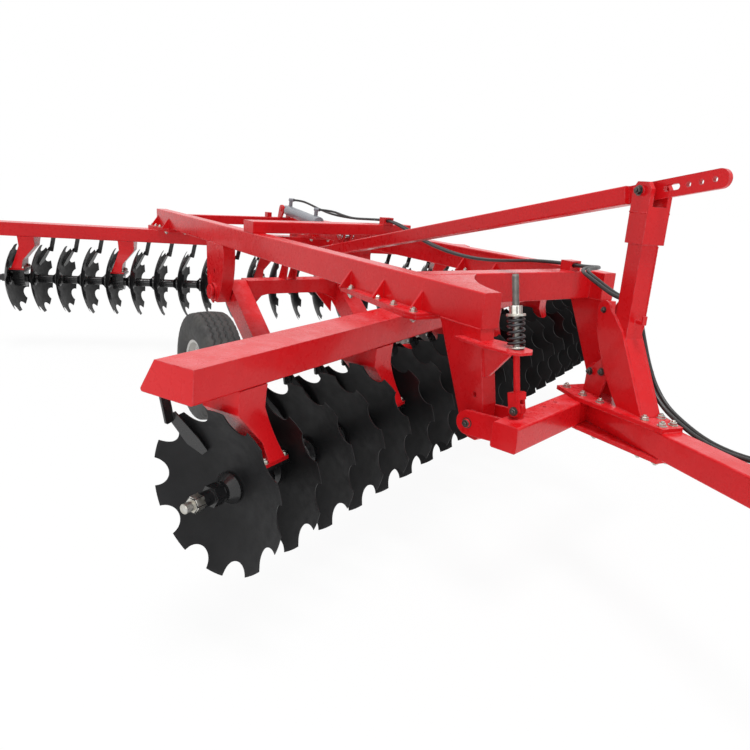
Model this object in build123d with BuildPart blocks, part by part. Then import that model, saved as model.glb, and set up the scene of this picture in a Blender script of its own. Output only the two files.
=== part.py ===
from build123d import *
import os
from math import cos, radians, sin, sqrt, tan

os.makedirs("parts", exist_ok=True)

# x runs forward along the rails, y to the machine's left and z up.
# Every place below is counted from the front of the right rail, with z from the lowest disc edge.
shift_x = 1786.07
shift_y = -752.58
lift = 350.0

# rails and cross beams
rail_width = 100.0
rail_height = 162.0
rail_top = 1062.0
rail_bottom = rail_top - rail_height
right_rail_length = 5000.0
left_rail_front = -430.0
left_rail_rear = -4430.0
frame_width = 1400.0
left_rail_inner = frame_width - rail_width
front_beam_front = -522.0
front_beam_depth = 120.0
middle_beam_front = -2529.0
middle_beam_depth = 180.0
middle_beam_height = 84.0
rear_beam_front = -4250.0
rear_beam_side = 80.0

# gangs
disc_radius = 330.0
disc_pitch = 230.0
disc_dish = 88.0
disc_sheet = 6.0
disc_flat = 80.0
disc_bore = 31.0
notch_count = 10
notch_radius = 62.0
notch_centre = disc_radius + 7.0
discs_per_shaft = 10
front_angle = radians(25.15)
rear_angle = radians(22.85)
front_gang_start = (-55.0 - 88.0 * sin(front_angle), -1188.0 + 88.0 * cos(front_angle))
rear_gang_end = (-5356.0 + 19 * 230.0 * sin(rear_angle), -1262.0 + 19 * 230.0 * cos(rear_angle))
shaft_step = discs_per_shaft * disc_pitch
gang_span = (2 * discs_per_shaft - 1) * disc_pitch
spool_waist = 40.0
spool_flange = 70.0
hanger_gaps = (0, 4, 8, 10, 14, 18)
gap_middle = (disc_sheet + disc_pitch) / 2

# gang beams hang under the rails on two flange plates
flange_plate = 15.0
beam_top = rail_bottom - 2 * flange_plate
beam_bottom = beam_top - 128.0
beam_end = 270.0

# wheel frame
pivot_x = -3330.0
pivot_z = 500.0
axle_x = -2650.0
axle_z = 60.0
tyre_radius = 410.0
tyre_width = 300.0
right_wheel_y = -280.0
left_wheel_y = frame_width - right_wheel_y
arm_inner = 272.0
arm_outer = 112.0

lever_y = 1080.0
lever_pin = (-3050.0, 1020.0)
lug_pin = (-4250.0, 1140.0)

# hitch, level in the parked pose: the hinge pins lie on one skewed line through both legs
hitch_skew = radians(16.5)
hinge_z = 484.0
leg_middle = 40.0
leg_spacing = 1320.0
pin_radius = 20.0
crossbar_skew = radians(15.5)
crossbar_depth = 125.0
hitch_top = 556.0
hitch_bottom = 440.0
drawbar_turn = radians(-11.6)
drawbar_width = 115.0
drawbar_start = (70.0, 686.3)
drawbar_length = 1880.0
mast_pin = (205.0, 1530.0)
running_fit = 0.05

# hoses
hose_radius = 10.0
hose_gap = 28.0
hose_middle = 1174.0
hose_height = 32.0
guide_width = 86.0
guide_length = 76.0
guide_height = 56.0


def spot(x, y, z):
    return Vector(x + shift_x, y + shift_y, z + lift)


def level_plane(x, y, z, turn=0.0):
    return Plane(spot(x, y, z), x_dir=(cos(turn), sin(turn), 0), z_dir=(0, 0, 1))


# an upright plane seen from the right, with its x forward and its y up
def side_plane(x, y, z, turn=0.0):
    return Plane(spot(x, y, z), x_dir=(cos(turn), sin(turn), 0), z_dir=(sin(turn), -cos(turn), 0))


# a plane square to the line between two points, with its x level
def end_plane(start, finish):
    along = (finish - start).normalized()
    return Plane(start, x_dir=Vector(0, 0, 1).cross(along).normalized(), z_dir=along)


def save(block, name):
    block.part.label = name
    export_step(block.part, "parts/" + name + ".step")


# The frame: each rail sits on the gang beams by way of a bolted flange plate, stiffened by gussets.
def flange_outline(half_length, lean):
    points = [
        (-half_length, -lean * 20 - 50), (half_length * 0.84, -lean * 50 - 100), (half_length, -lean * 40 - 90),
        (half_length, lean * 20 + 50), (-half_length * 0.84, lean * 50 + 100), (-half_length, lean * 40 + 90),
    ]
    return points + points[:1]


def add_flange(middle_x, middle_y, half_length, lean, height):
    with BuildPart() as flange:
        with BuildSketch(level_plane(middle_x, middle_y, height)):
            with BuildLine():
                Polyline([Vector(x * lean, y) for x, y in flange_outline(half_length, 1)])
            make_face()
        extrude(amount=flange_plate)
    return flange.part


def rail_gussets(middle_x, rail_y, places):
    with BuildPart() as gussets:
        for place in places:
            for side in (-1, 1):
                foot = Vector(middle_x + place, rail_y + side * rail_width / 2)
                with BuildSketch(Plane(spot(foot.X - 6, foot.Y, rail_bottom), x_dir=(0, side, 0), z_dir=(side, 0, 0))):
                    with BuildLine():
                        Polyline((0, 0), (68, 0), (68, 8), (0, 100), (0, 0))
                    make_face()
                extrude(amount=12 * side)
    return gussets.part


crossings = {
    "front_right": (-788.0, 50.0, 412.0, 1),
    "front_left": (-1350.0, 1350.0, 412.0, 1),
    "rear_right": (-4770.0, 50.0, 225.0, -1),
    "rear_left": (-4215.0, 1350.0, 215.0, -1),
}
with BuildPart() as right_rail:
    with BuildSketch(end_plane(spot(-right_rail_length, 50, 981), spot(0, 50, 981))):
        RectangleRounded(rail_width, rail_height, 8)
    extrude(amount=right_rail_length)
    add([add_flange(*crossings[place], rail_bottom - flange_plate) for place in ("front_right", "rear_right")])
    add([rail_gussets(-788, 50, (-340, 0, 340)), rail_gussets(-4770, 50, (-180, 180))])

with BuildPart() as left_rail:
    with BuildSketch(end_plane(spot(left_rail_rear, 1350, 981), spot(0, 1350, 981))):
        RectangleRounded(rail_width, rail_height, 8)
    extrude(amount=left_rail_front - left_rail_rear)
    add([add_flange(*crossings[place], rail_bottom - flange_plate) for place in ("front_left", "rear_left")])
    add([rail_gussets(-1350, 1350, (-340, 0, 340)), rail_gussets(-4215, 1350, (-170, 170))])

# A hose guide is an open box with one slot through it for both hoses.
def hose_guide(foot, height):
    with BuildPart() as guide:
        with BuildSketch(Plane(foot - Vector(guide_length / 2, 0, 2), x_dir=(0, 1, 0), z_dir=(1, 0, 0))):
            with Locations((0, height / 2 + 1)):
                Rectangle(guide_width, height + 2)
            with Locations((0, hose_height + 2)):
                SlotOverall(guide_width - 24, 2 * hose_radius + 4, mode=Mode.SUBTRACT)
        extrude(amount=guide_length)
    return guide.part


# The front cross beam carries a flat gusset in each corner in front of it.
with BuildPart() as front_cross_beam:
    beam_middle = front_beam_front - front_beam_depth / 2
    with BuildSketch(end_plane(spot(beam_middle, rail_width, 981), spot(beam_middle, left_rail_inner, 981))):
        RectangleRounded(front_beam_depth, rail_height, 8)
    extrude(amount=left_rail_inner - rail_width)
    with BuildSketch(level_plane(0, 0, rail_top - 14)):
        with BuildLine():
            Line((front_beam_front, rail_width), (-12, rail_width))
            RadiusArc((-12, rail_width), (front_beam_front, 400), 900)
            Line((front_beam_front, 400), (front_beam_front, rail_width))
        make_face()
    extrude(amount=12)
    add(hose_guide(spot(-582, hose_middle, rail_top), guide_height))

with BuildPart() as middle_cross_beam:
    with BuildSketch(level_plane(middle_beam_front - middle_beam_depth / 2, frame_width / 2, rail_top)):
        Rectangle(middle_beam_depth, frame_width)
    extrude(amount=middle_beam_height)
    fillet(middle_cross_beam.edges().filter_by(Axis.Y), 8)
    add(hose_guide(spot(-2560, hose_middle, rail_top + middle_beam_height), guide_height))

with BuildPart() as rear_cross_beam:
    beam_middle = rear_beam_front - rear_beam_side / 2
    beam_height = rail_top - rear_beam_side / 2
    with BuildSketch(end_plane(spot(beam_middle, rail_width, beam_height), spot(beam_middle, 1300, beam_height))):
        RectangleRounded(rear_beam_side, rear_beam_side, 6)
    extrude(amount=left_rail_inner - rail_width)
    for offset_y in (-54, 34):
        with BuildSketch(side_plane(0, lever_y + offset_y + 20, 0)):
            with BuildLine():
                Polyline(
                    (rear_beam_front - 76, rail_top - 2), (rear_beam_front - 4, rail_top - 2),
                    (lug_pin[0] + 46, lug_pin[1] - 10), (lug_pin[0] - 44, lug_pin[1] + 12),
                    (rear_beam_front - 76, rail_top - 2),
                )
            make_face()
            with Locations(lug_pin):
                Circle(46)
        extrude(amount=20)
    with BuildSketch(side_plane(0, lever_y + 62, 0)):
        with Locations(lug_pin):
            Circle(pin_radius)
    extrude(amount=124)
    with BuildSketch(level_plane(rear_beam_front - 40, 907, rail_top - 1)):
        Rectangle(64, 46)
    extrude(amount=46)

for block, name in (
    (right_rail, "right_rail"),
    (left_rail, "left_rail"),
    (front_cross_beam, "front_cross_beam"),
    (middle_cross_beam, "middle_cross_beam"),
    (rear_cross_beam, "rear_cross_beam"),
):
    save(block, name)

# Legs under the rails' front ends, each with a skewed boss for the hitch pin
for name, leg_x, leg_y in (("right_leg", 0.0, leg_middle), ("left_leg", -leg_spacing * tan(hitch_skew), leg_middle + leg_spacing)):
    with BuildPart() as leg:
        with BuildSketch(side_plane(leg_x, leg_y + 38, 0)):
            with BuildLine():
                Polyline(
                    (-295, rail_bottom), (-62, hinge_z - 60), (-20, hinge_z - 88), (40, hinge_z - 88),
                    (62, hinge_z - 60), (62, hinge_z + 90), (-6, rail_bottom), (-295, rail_bottom),
                )
            make_face()
        extrude(amount=76)
        fillet(leg.edges().filter_by(Axis.Y).group_by(Axis.Z)[0], 24)
        boss_start = spot(leg_x + 62 * sin(hitch_skew), leg_y - 62 * cos(hitch_skew), hinge_z)
        boss_finish = spot(leg_x - 62 * sin(hitch_skew), leg_y + 62 * cos(hitch_skew), hinge_z)
        with BuildSketch(end_plane(boss_start, boss_finish)):
            Circle(48)
        extrude(amount=124)
        with BuildSketch(end_plane(boss_start, boss_finish)):
            Circle(pin_radius + running_fit)
        extrude(amount=124, mode=Mode.SUBTRACT)
        with BuildSketch(side_plane(leg_x, leg_y + 38, 0)):
            with Locations((0, 604)):
                Circle(13)
        extrude(amount=76, mode=Mode.SUBTRACT)
        if name == "right_leg":
            with BuildSketch(level_plane(0, 0, 838)):
                with BuildLine():
                    Polyline(
                        (-120, -46), (40, -46), (190, -12), (232, 22), (236, 84), (200, 122), (90, 122),
                        (-10, 96), (-120, 96), (-120, -46),
                    )
                make_face()
                with Locations((162, 65)):
                    Circle(24, mode=Mode.SUBTRACT)
            extrude(amount=12)
            with BuildSketch(side_plane(0, 24, 0)):
                with BuildLine():
                    Polyline((-20, 838), (190, 838), (60, 700), (20, 690), (-20, 838))
                make_face()
            extrude(amount=14)
    save(leg, name)

# Gang pieces, made about the shaft's own line: x along it, y to the rear, z up
with BuildPart() as disc:
    with BuildSketch():
        with BuildLine():
            Line((0, disc_bore), (0, disc_flat))
            ThreePointArc((0, disc_flat), (-30, 205), (-disc_dish, disc_radius))
            Line((-disc_dish, disc_radius), (-disc_dish + 3, disc_radius))
            Line((-disc_dish + 3, disc_radius), (-disc_dish + 12, disc_radius - 12))
            ThreePointArc((-disc_dish + 12, disc_radius - 12), (-23.6, 205), (disc_sheet, disc_flat))
            Line((disc_sheet, disc_flat), (disc_sheet, disc_bore))
            Line((disc_sheet, disc_bore), (0, disc_bore))
        make_face()
    revolve(axis=Axis.X)
    with BuildSketch(Plane.YZ.offset(-disc_dish - 10)):
        with PolarLocations(notch_centre, notch_count):
            Circle(notch_radius)
    extrude(amount=disc_dish + 30, mode=Mode.SUBTRACT)

with BuildPart() as gang_discs:
    with Locations(*[(n * disc_pitch, 0, 0) for n in range(discs_per_shaft)]):
        add(disc.part)

with BuildPart() as spool:
    with BuildSketch():
        with BuildLine():
            Polyline(
                (disc_sheet, 0), (disc_sheet, spool_flange), (20, spool_flange), (34, 50), (50, spool_waist),
                (disc_pitch - 44, spool_waist), (disc_pitch - 28, 50), (disc_pitch - 14, spool_flange),
                (disc_pitch, spool_flange), (disc_pitch, 0), (disc_sheet, 0),
            )
        make_face()
    revolve(axis=Axis.X)

shaft_inner = (discs_per_shaft - 1) * disc_pitch + disc_sheet
with BuildPart() as gang_shaft:
    with Locations(*[(n * disc_pitch, 0, 0) for n in range(discs_per_shaft - 1)]):
        add(spool.part)
    with BuildSketch(Plane.YZ.offset(-160)):
        Circle(disc_bore - 1)
    extrude(amount=160 + shaft_inner + 16)
    with BuildSketch(Plane.YZ.offset(-238)):
        Circle(18)
    extrude(amount=80)
    with BuildSketch(Plane.YZ.offset(-200)):
        RegularPolygon(32, 6)
    extrude(amount=42)
    with BuildSketch(Plane.YZ.offset(-110)):
        RegularPolygon(44, 6)
    extrude(amount=48)
    with BuildSketch():
        with BuildLine():
            Polyline((0, 0), (0, 64), (-12, 64), (-46, 40), (-62, 40), (-62, 0), (0, 0))
        make_face()
    revolve(axis=Axis.X)
    with BuildSketch(Plane.YZ.offset(shaft_inner)):
        Circle(64)
    extrude(amount=14)
    with BuildSketch(Plane.YZ.offset(shaft_inner + 14)):
        RegularPolygon(40, 6)
    extrude(amount=36)

# The end collars of the inner shaft start are shorter, so that two shafts fit end to end.
with BuildPart() as inner_shaft:
    with Locations(*[(n * disc_pitch, 0, 0) for n in range(discs_per_shaft - 1)]):
        add(spool.part)
    with BuildSketch(Plane.YZ.offset(-16)):
        Circle(disc_bore - 1)
    extrude(amount=shaft_inner + 100)
    with BuildSketch(Plane.YZ.offset(-14)):
        Circle(64)
    extrude(amount=14)
    with BuildSketch(Plane.YZ.offset(-50)):
        RegularPolygon(40, 6)
    extrude(amount=36)
    with BuildSketch(Plane.YZ.offset(shaft_inner)):
        Circle(64)
    extrude(amount=14)
    with BuildSketch(Plane.YZ.offset(shaft_inner + 14)):
        RegularPolygon(40, 6)
    extrude(amount=40)
    with BuildSketch(Plane.YZ.offset(shaft_inner + 54)):
        Circle(18)
    extrude(amount=60)

housing_width = 104.0
foot_width = 154.0
foot_top = 112.0
with BuildPart() as bearing:
    with BuildSketch(Plane.YZ.offset(gap_middle - housing_width / 2)):
        Circle(78)
        with Locations((0, 48)):
            Rectangle(150, 96)
    extrude(amount=housing_width)
    with BuildSketch(Plane.YZ.offset(gap_middle - foot_width / 2)):
        with Locations((-13, 88)):
            Rectangle(234, 16)
    extrude(amount=foot_width)
    with BuildSketch(Plane.YZ.offset(gap_middle - housing_width / 2)):
        Circle(spool_waist + 0.3)
    extrude(amount=housing_width, mode=Mode.SUBTRACT)

with BuildPart() as gang_bearings:
    with Locations(*[(n * disc_pitch, 0, 0) for n in hanger_gaps]):
        add(bearing.part)

beam_under = beam_bottom - disc_radius
hanger_top = 30.0
with BuildPart() as hanger:
    with BuildSketch(Plane.YZ.offset(hanger_top - 75)):
        with BuildLine():
            Line((-130, 96), (-130, foot_top))
            ThreePointArc((-130, foot_top), (-88, 250), (-84, beam_under))
            Line((-84, beam_under), (176, beam_under))
            ThreePointArc((176, beam_under), (84, 270), (104, foot_top))
            Line((104, foot_top), (104, 96))
            Line((104, 96), (-130, 96))
        make_face()
    extrude(amount=240)
    with BuildSketch(Plane.XZ.offset(-300)):
        with BuildLine():
            Line((gap_middle - 68, 90), (gap_middle - 68, foot_top))
            Line((gap_middle - 68, foot_top), (gap_middle - 46, foot_top))
            Line((gap_middle - 46, foot_top), (gap_middle - 56, 190))
            Line((gap_middle - 56, 190), (hanger_top - 75, 320))
            Line((hanger_top - 75, 320), (hanger_top - 75, beam_under + 1))
            Line((hanger_top - 75, beam_under + 1), (hanger_top + 75, beam_under + 1))
            Line((hanger_top + 75, beam_under + 1), (hanger_top + 68, 320))
            Line((hanger_top + 68, 320), (gap_middle + 46, foot_top))
            Line((gap_middle + 46, foot_top), (gap_middle + 68, foot_top))
            Line((gap_middle + 68, foot_top), (gap_middle + 68, 90))
            Line((gap_middle + 68, 90), (gap_middle - 68, 90))
        make_face()
    extrude(amount=600, mode=Mode.INTERSECT)

with BuildPart() as gang_hangers:
    with Locations(*[(n * disc_pitch, 0, 0) for n in hanger_gaps]):
        add(hanger.part)

# One scraper: a flat arm down the beam's rear wall and a blade leaning into the dish.
arm_head = Vector(-170, 194, 470)
arm_foot = Vector(-122, 194, 250)
blade_head = Vector(-104, 190, 266)
blade_foot = Vector(-26, 114, 112)
with BuildPart() as scraper:
    arm_line = (arm_foot - arm_head).normalized()
    with BuildSketch(Plane(arm_head, x_dir=arm_line, z_dir=(0, 1, 0)).offset(-5)):
        with Locations(((arm_foot - arm_head).length / 2, 0)):
            RectangleRounded((arm_foot - arm_head).length, 40, 8)
    extrude(amount=10)
    blade_line = (blade_foot - blade_head).normalized()
    blade_face = blade_line.cross(Vector(0, -0.78, 0.62)).normalized()
    with BuildSketch(Plane(blade_head, x_dir=blade_line, z_dir=blade_face).offset(-3)):
        with BuildLine():
            Polyline((-20, -24), (-20, 24), (120, 34), (178, 30), (186, -6), (120, -34), (-20, -24))
        make_face()
    extrude(amount=6)
    with BuildSketch(Plane.YZ.offset(-192)):
        with BuildLine():
            Polyline((150, beam_under), (199, beam_under), (199, 480), (140, 480), (150, beam_under))
        make_face()
    extrude(amount=30)
    with BuildSketch(Plane.YZ.offset(-230)):
        with BuildLine():
            Polyline(
                (-91, beam_top - disc_radius), (98, beam_top - disc_radius), (180, beam_under),
                (-84, beam_under), (-91, beam_top - disc_radius),
            )
        make_face()
    extrude(amount=100, mode=Mode.SUBTRACT)

with BuildPart() as gang_scrapers:
    with Locations(*[(n * disc_pitch, 0, 0) for n in range(2 * discs_per_shaft)]):
        add(scraper.part)

with BuildPart() as gang_beam:
    with BuildSketch(Plane.YZ.offset(-beam_end)):
        with BuildLine():
            Polyline(
                (-91, beam_top - disc_radius), (98, beam_top - disc_radius), (180, beam_under),
                (-84, beam_under), (-91, beam_top - disc_radius),
            )
        make_face()
    extrude(amount=gang_span + 2 * beam_end - 120)
    fillet(gang_beam.edges().filter_by(Axis.X).group_by(Axis.Z)[0], 10)

front_start = spot(front_gang_start[0], front_gang_start[1], disc_radius)
front_line = Plane(front_start, x_dir=(-sin(front_angle), cos(front_angle), 0), z_dir=(0, 0, 1))
rear_end = spot(rear_gang_end[0], rear_gang_end[1], disc_radius)
rear_end = rear_end - Vector(sin(rear_angle), cos(rear_angle), 0) * disc_dish
rear_line = Plane(rear_end, x_dir=(sin(rear_angle), cos(rear_angle), 0), z_dir=(0, 0, 1))

for line, part_of_beam, name in (
    (front_line, gang_beam.part, "front"),
    (rear_line, mirror(gang_beam.part, about=Plane.YZ), "rear"),
):
    with BuildPart() as carried_beam:
        with Locations(line.location):
            add(part_of_beam)
        for side in ("_right", "_left"):
            add(add_flange(*crossings[name + side], beam_top))
    save(carried_beam, name + "_gang_beam")

for piece, name in (
    (gang_hangers, "hangers"),
    (gang_bearings, "bearings"),
    (gang_scrapers, "scrapers"),
):
    flipped = mirror(piece.part, about=Plane.YZ)
    with BuildPart() as front_piece:
        with Locations(front_line.location):
            add(piece.part)
    save(front_piece, "front_" + name)
    with BuildPart() as rear_piece:
        with Locations(rear_line.location):
            add(flipped)
    save(rear_piece, "rear_" + name)

flipped_discs = mirror(gang_discs.part, about=Plane.YZ)
flipped_outer = mirror(gang_shaft.part, about=Plane.YZ)
flipped_inner = mirror(inner_shaft.part, about=Plane.YZ)
for name, line, step, discs, shaft in (
    ("front_right", front_line, 0, gang_discs.part, gang_shaft.part),
    ("front_left", front_line, shaft_step, gang_discs.part, inner_shaft.part),
    ("rear_left", rear_line, 0, flipped_discs, flipped_outer),
    ("rear_right", rear_line, -shaft_step, flipped_discs, flipped_inner),
):
    with BuildPart() as disc_set:
        with Locations(line.location * Location((step, 0, 0))):
            add(discs)
    save(disc_set, name + "_discs")
    with BuildPart() as shaft_set:
        with Locations(line.location * Location((step, 0, 0))):
            add(shaft)
    save(shaft_set, name + "_shaft")

# The wheel frame, hinged on two brackets under the rails
centre_plane = Plane(spot(0, frame_width / 2, 0), x_dir=(1, 0, 0), z_dir=(0, 1, 0))
pivot_radius = 45.0
with BuildPart() as wheel_bracket:
    with BuildSketch(side_plane(pivot_x, rail_width, 0)):
        with BuildLine():
            Line((-190, rail_bottom), (-172, 640))
            ThreePointArc((-172, 640), (-140, 520), (-60, 420))
            Line((-60, 420), (70, 420))
            ThreePointArc((70, 420), (150, 540), (200, rail_bottom))
            Line((200, rail_bottom), (-190, rail_bottom))
        make_face()
        with Locations((4, 673)):
            Circle(20, mode=Mode.SUBTRACT)
    extrude(amount=rail_width)
    with BuildSketch(side_plane(pivot_x, rail_width, 0)):
        with Locations((0, pivot_z)):
            Circle(74)
    extrude(amount=rail_width + 16)
    with BuildSketch(side_plane(pivot_x, rail_width, 0)):
        with Locations((0, pivot_z)):
            Circle(pivot_radius + running_fit)
    extrude(amount=rail_width + 16, mode=Mode.SUBTRACT)
    with BuildSketch(side_plane(pivot_x, 0, 0)):
        with BuildLine():
            Polyline((-90, 640), (-96, 500), (-60, 430), (0, 405), (10, 425), (-44, 470), (-62, 560), (-90, 640))
        make_face()
    extrude(amount=14)

arm_run = Vector(axle_x - pivot_x, axle_z - pivot_z)
arm_length = sqrt(arm_run.X**2 + arm_run.Y**2)
arm_side = Vector(-arm_run.Y, arm_run.X) / arm_length
stub_radius = 35.0
pivot_spot = Vector(pivot_x, pivot_z)
axle_spot = Vector(axle_x, axle_z)
with BuildPart() as wheel_arm:
    with BuildSketch(side_plane(0, arm_inner, 0)):
        with BuildLine():
            Polyline(
                pivot_spot + arm_side * 96, axle_spot + arm_side * 78,
                axle_spot - arm_side * 78, pivot_spot - arm_side * 96, pivot_spot + arm_side * 96,
            )
        make_face()
        with Locations(pivot_spot):
            Circle(96)
        with Locations(axle_spot):
            Circle(78)
    extrude(amount=arm_inner - arm_outer)
    with BuildSketch(side_plane(pivot_x, arm_outer, pivot_z)):
        Circle(pivot_radius)
    extrude(amount=arm_outer + 40)
    with BuildSketch(side_plane(pivot_x, -28, pivot_z)):
        Circle(62)
    extrude(amount=16)
    with BuildSketch(side_plane(axle_x, arm_outer, axle_z)):
        Circle(52)
    extrude(amount=40)
    with BuildSketch(side_plane(axle_x, arm_outer, axle_z)):
        Circle(stub_radius)
    extrude(amount=arm_outer - right_wheel_y + 52)

for block, name in ((wheel_bracket, "wheel_bracket"), (wheel_arm, "wheel_arm")):
    other_side = mirror(block.part, about=centre_plane)
    save(block, "right_" + name)
    with BuildPart() as left_block:
        add(other_side)
    save(left_block, "left_" + name)

arch_top = 596.0
with BuildPart() as rockshaft:
    with BuildSketch(Plane(spot(pivot_x - 82, frame_width / 2, 0), x_dir=(0, 1, 0), z_dir=(1, 0, 0))):
        half = frame_width / 2 - arm_inner
        with BuildLine():
            Polyline((-half, 400), (-half, arch_top), (half, arch_top), (half, 400))
            ThreePointArc((half, 400), (half - 110, 460), (half - 200, 480))
            Line((half - 200, 480), (200 - half, 480))
            ThreePointArc((200 - half, 480), (110 - half, 460), (-half, 400))
        make_face()
    extrude(amount=164)
    for side in (-1, 1):
        with BuildSketch(Plane(spot(pivot_x - 8, frame_width / 2, 0), x_dir=(0, 1, 0), z_dir=(1, 0, 0))):
            with BuildLine():
                Polyline((side * half, 280), (side * half, 430), (side * (half - 190), 490), (side * half, 280))
            make_face()
        extrude(amount=16)
    for offset_y in (-52, 40):
        with BuildSketch(side_plane(pivot_x, 670 + offset_y + 12, 0)):
            with BuildLine():
                Polyline((-74, 590), (74, 590), (122, 780), (104, 826), (56, 826), (38, 800), (-74, 590))
            make_face()
            with Locations((80, 790)):
                Circle(40)
        extrude(amount=12)
    with BuildSketch(side_plane(pivot_x + 80, 730, 790)):
        Circle(18)
    extrude(amount=120)

with BuildPart() as lift_lever:
    for offset_y in (-46, 30):
        with BuildSketch(side_plane(0, lever_y + offset_y + 16, 0)):
            with BuildLine():
                Polyline(
                    (pivot_x - 76, arch_top), (pivot_x + 76, arch_top), (lever_pin[0] + 56, lever_pin[1] - 20),
                    (lever_pin[0] - 56, lever_pin[1] + 20), (pivot_x - 76, arch_top),
                )
            make_face()
            with Locations(lever_pin):
                Circle(60)
                Circle(40, mode=Mode.SUBTRACT)
        extrude(amount=16)
    with BuildSketch(side_plane(0, lever_y + 30, 0)):
        with BuildLine():
            Polyline(
                (pivot_x - 60, arch_top), (pivot_x + 60, arch_top), (pivot_x + 200, 860),
                (pivot_x + 130, 880), (pivot_x - 60, arch_top),
            )
        make_face()
    extrude(amount=60)

for block, name in ((rockshaft, "rockshaft"), (lift_lever, "lift_lever")):
    save(block, name)

# Wheels: a rim with its hub, and a tyre round it
for side, wheel_y, name in ((1, right_wheel_y, "right"), (-1, left_wheel_y, "left")):
    wheel_plane = Plane(spot(axle_x, wheel_y, axle_z), x_dir=(0, side, 0), z_dir=(side, 0, 0))
    wheel_axis = Axis(spot(axle_x, wheel_y, axle_z), (0, side, 0))
    with BuildPart() as rim:
        with BuildSketch(wheel_plane):
            with BuildLine():
                Polyline(
                    (-118, 206), (-112, 206), (-108, 192), (-62, 188), (-44, 170), (44, 170), (62, 188), (108, 192),
                    (112, 206), (118, 206), (118, 196), (113, 184), (64, 180), (46, 162), (-46, 162), (-64, 180),
                    (-113, 184), (-118, 196), (-118, 206),
                )
            make_face()
            with BuildLine():
                Polyline(
                    (-26, 162), (-26, 140), (-4, 96), (-4, 40), (8, 40), (8, 98), (-14, 144), (-14, 162), (-26, 162),
                )
            make_face()
            with BuildLine():
                Polyline(
                    (-76, 0), (-76, 40), (-66, 52), (-20, 58), (4, 66), (60, 66), (84, 48), (84, 35.05),
                    (-58, 35.05), (-58, 0), (-76, 0),
                )
            make_face()
        revolve(axis=wheel_axis)
        with BuildSketch(wheel_plane.rotated((0, 90, 0)).offset(-60)):
            with PolarLocations(120, 5):
                Circle(20)
        extrude(amount=120, mode=Mode.SUBTRACT)
    save(rim, name + "_rim")
    half = tyre_width / 2
    with BuildPart() as tyre:
        with BuildSketch(wheel_plane):
            with BuildLine():
                Polyline(
                    (-106, 194), (-half, 296), (-126, 390), (-104, 402), (0, tyre_radius), (104, 402), (126, 390),
                    (half, 296), (106, 194), (-106, 194),
                )
            make_face()
        revolve(axis=wheel_axis)
    save(tyre, name + "_tyre")

# The lift cylinder between the rear cross beam and the lift lever
lug_spot = spot(lug_pin[0], lever_y, lug_pin[1])
lever_spot = spot(lever_pin[0], lever_y, lever_pin[1])
ram_line = (lever_spot - lug_spot).normalized()
ram_length = (lever_spot - lug_spot).length
ram_plane = Plane(lug_spot, x_dir=ram_line, z_dir=(0, -1, 0))
ram_axis = Axis(lug_spot, ram_line)
rod_radius = 25.0
ram_up = Vector(-ram_line.Z, 0, ram_line.X)
ports = (100.0, 640.0)
port_height = 112.0
port_reach = 34.0
port_out = Vector(cos(radians(30)), sin(radians(30)), 0)
with BuildPart() as cylinder_barrel:
    with BuildSketch(ram_plane):
        with BuildLine():
            Polyline(
                (52, 0), (52, 44), (60, 50), (650, 50), (650, 56), (706, 56), (712, 50), (712, rod_radius + running_fit),
                (660, rod_radius + running_fit), (660, 40), (84, 40), (84, 0), (52, 0),
            )
        make_face()
    revolve(axis=ram_axis)
    with BuildSketch(ram_plane.offset(-30)):
        Circle(40)
        with Locations((30, 0)):
            Rectangle(60, 64)
    extrude(amount=60)
    with BuildSketch(ram_plane.offset(-30)):
        Circle(pin_radius + running_fit)
    extrude(amount=60, mode=Mode.SUBTRACT)
    for port in ports:
        with BuildSketch(Plane(lug_spot + ram_line * port, x_dir=ram_line, z_dir=ram_plane.y_dir).offset(44)):
            Circle(18)
        extrude(amount=port_height - 44)
        with BuildSketch(Plane(lug_spot + ram_line * port + ram_up * port_height, z_dir=port_out).offset(-18)):
            Circle(16)
        extrude(amount=18 + port_reach)

with BuildPart() as cylinder_rod:
    with BuildSketch(ram_plane):
        with BuildLine():
            Polyline(
                (520, 0), (520, 39), (560, 39), (560, rod_radius), (ram_length - 20, rod_radius),
                (ram_length - 20, 0), (520, 0),
            )
        make_face()
    revolve(axis=ram_axis)
    with BuildSketch(ram_plane.offset(-23)):
        with Locations((ram_length, 0)):
            Circle(38)
    extrude(amount=46)
    with BuildSketch(ram_plane.offset(-64)):
        with Locations((ram_length, 0)):
            Circle(18)
    extrude(amount=128)
    for washer in (-60, 53):
        with BuildSketch(ram_plane.offset(washer)):
            with Locations((ram_length, 0)):
                Circle(50)
        extrude(amount=7)

# The hitch: a crossbar on two forked arms, with the drawbar bolted under the mast's plate
crossbar_line = Vector(-sin(crossbar_skew), cos(crossbar_skew), 0)
crossbar_start = spot(262.4, -46.7, (hitch_top + hitch_bottom) / 2)
crossbar_finish = crossbar_start + crossbar_line * 1504.7
with BuildPart() as yoke_crossbar:
    with BuildSketch(end_plane(crossbar_start, crossbar_finish)):
        RectangleRounded(crossbar_depth, hitch_top - hitch_bottom, 10)
    extrude(amount=1504.7)
    with BuildSketch(level_plane(210, 65, hitch_top - 2, hitch_skew)):
        Rectangle(56, 20)
    extrude(amount=66)
    rod_pin_plane = Plane(spot(210, 65, 590), x_dir=(cos(hitch_skew), sin(hitch_skew), 0),
                          z_dir=(sin(hitch_skew), -cos(hitch_skew), 0))
    with BuildSketch(rod_pin_plane.offset(-34)):
        Circle(12)
    extrude(amount=68)
    with BuildSketch(level_plane(0, 0, hitch_top)):
        with Locations((148, 299), (117, 403)):
            Circle(9)
    extrude(amount=-20, mode=Mode.SUBTRACT)

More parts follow.
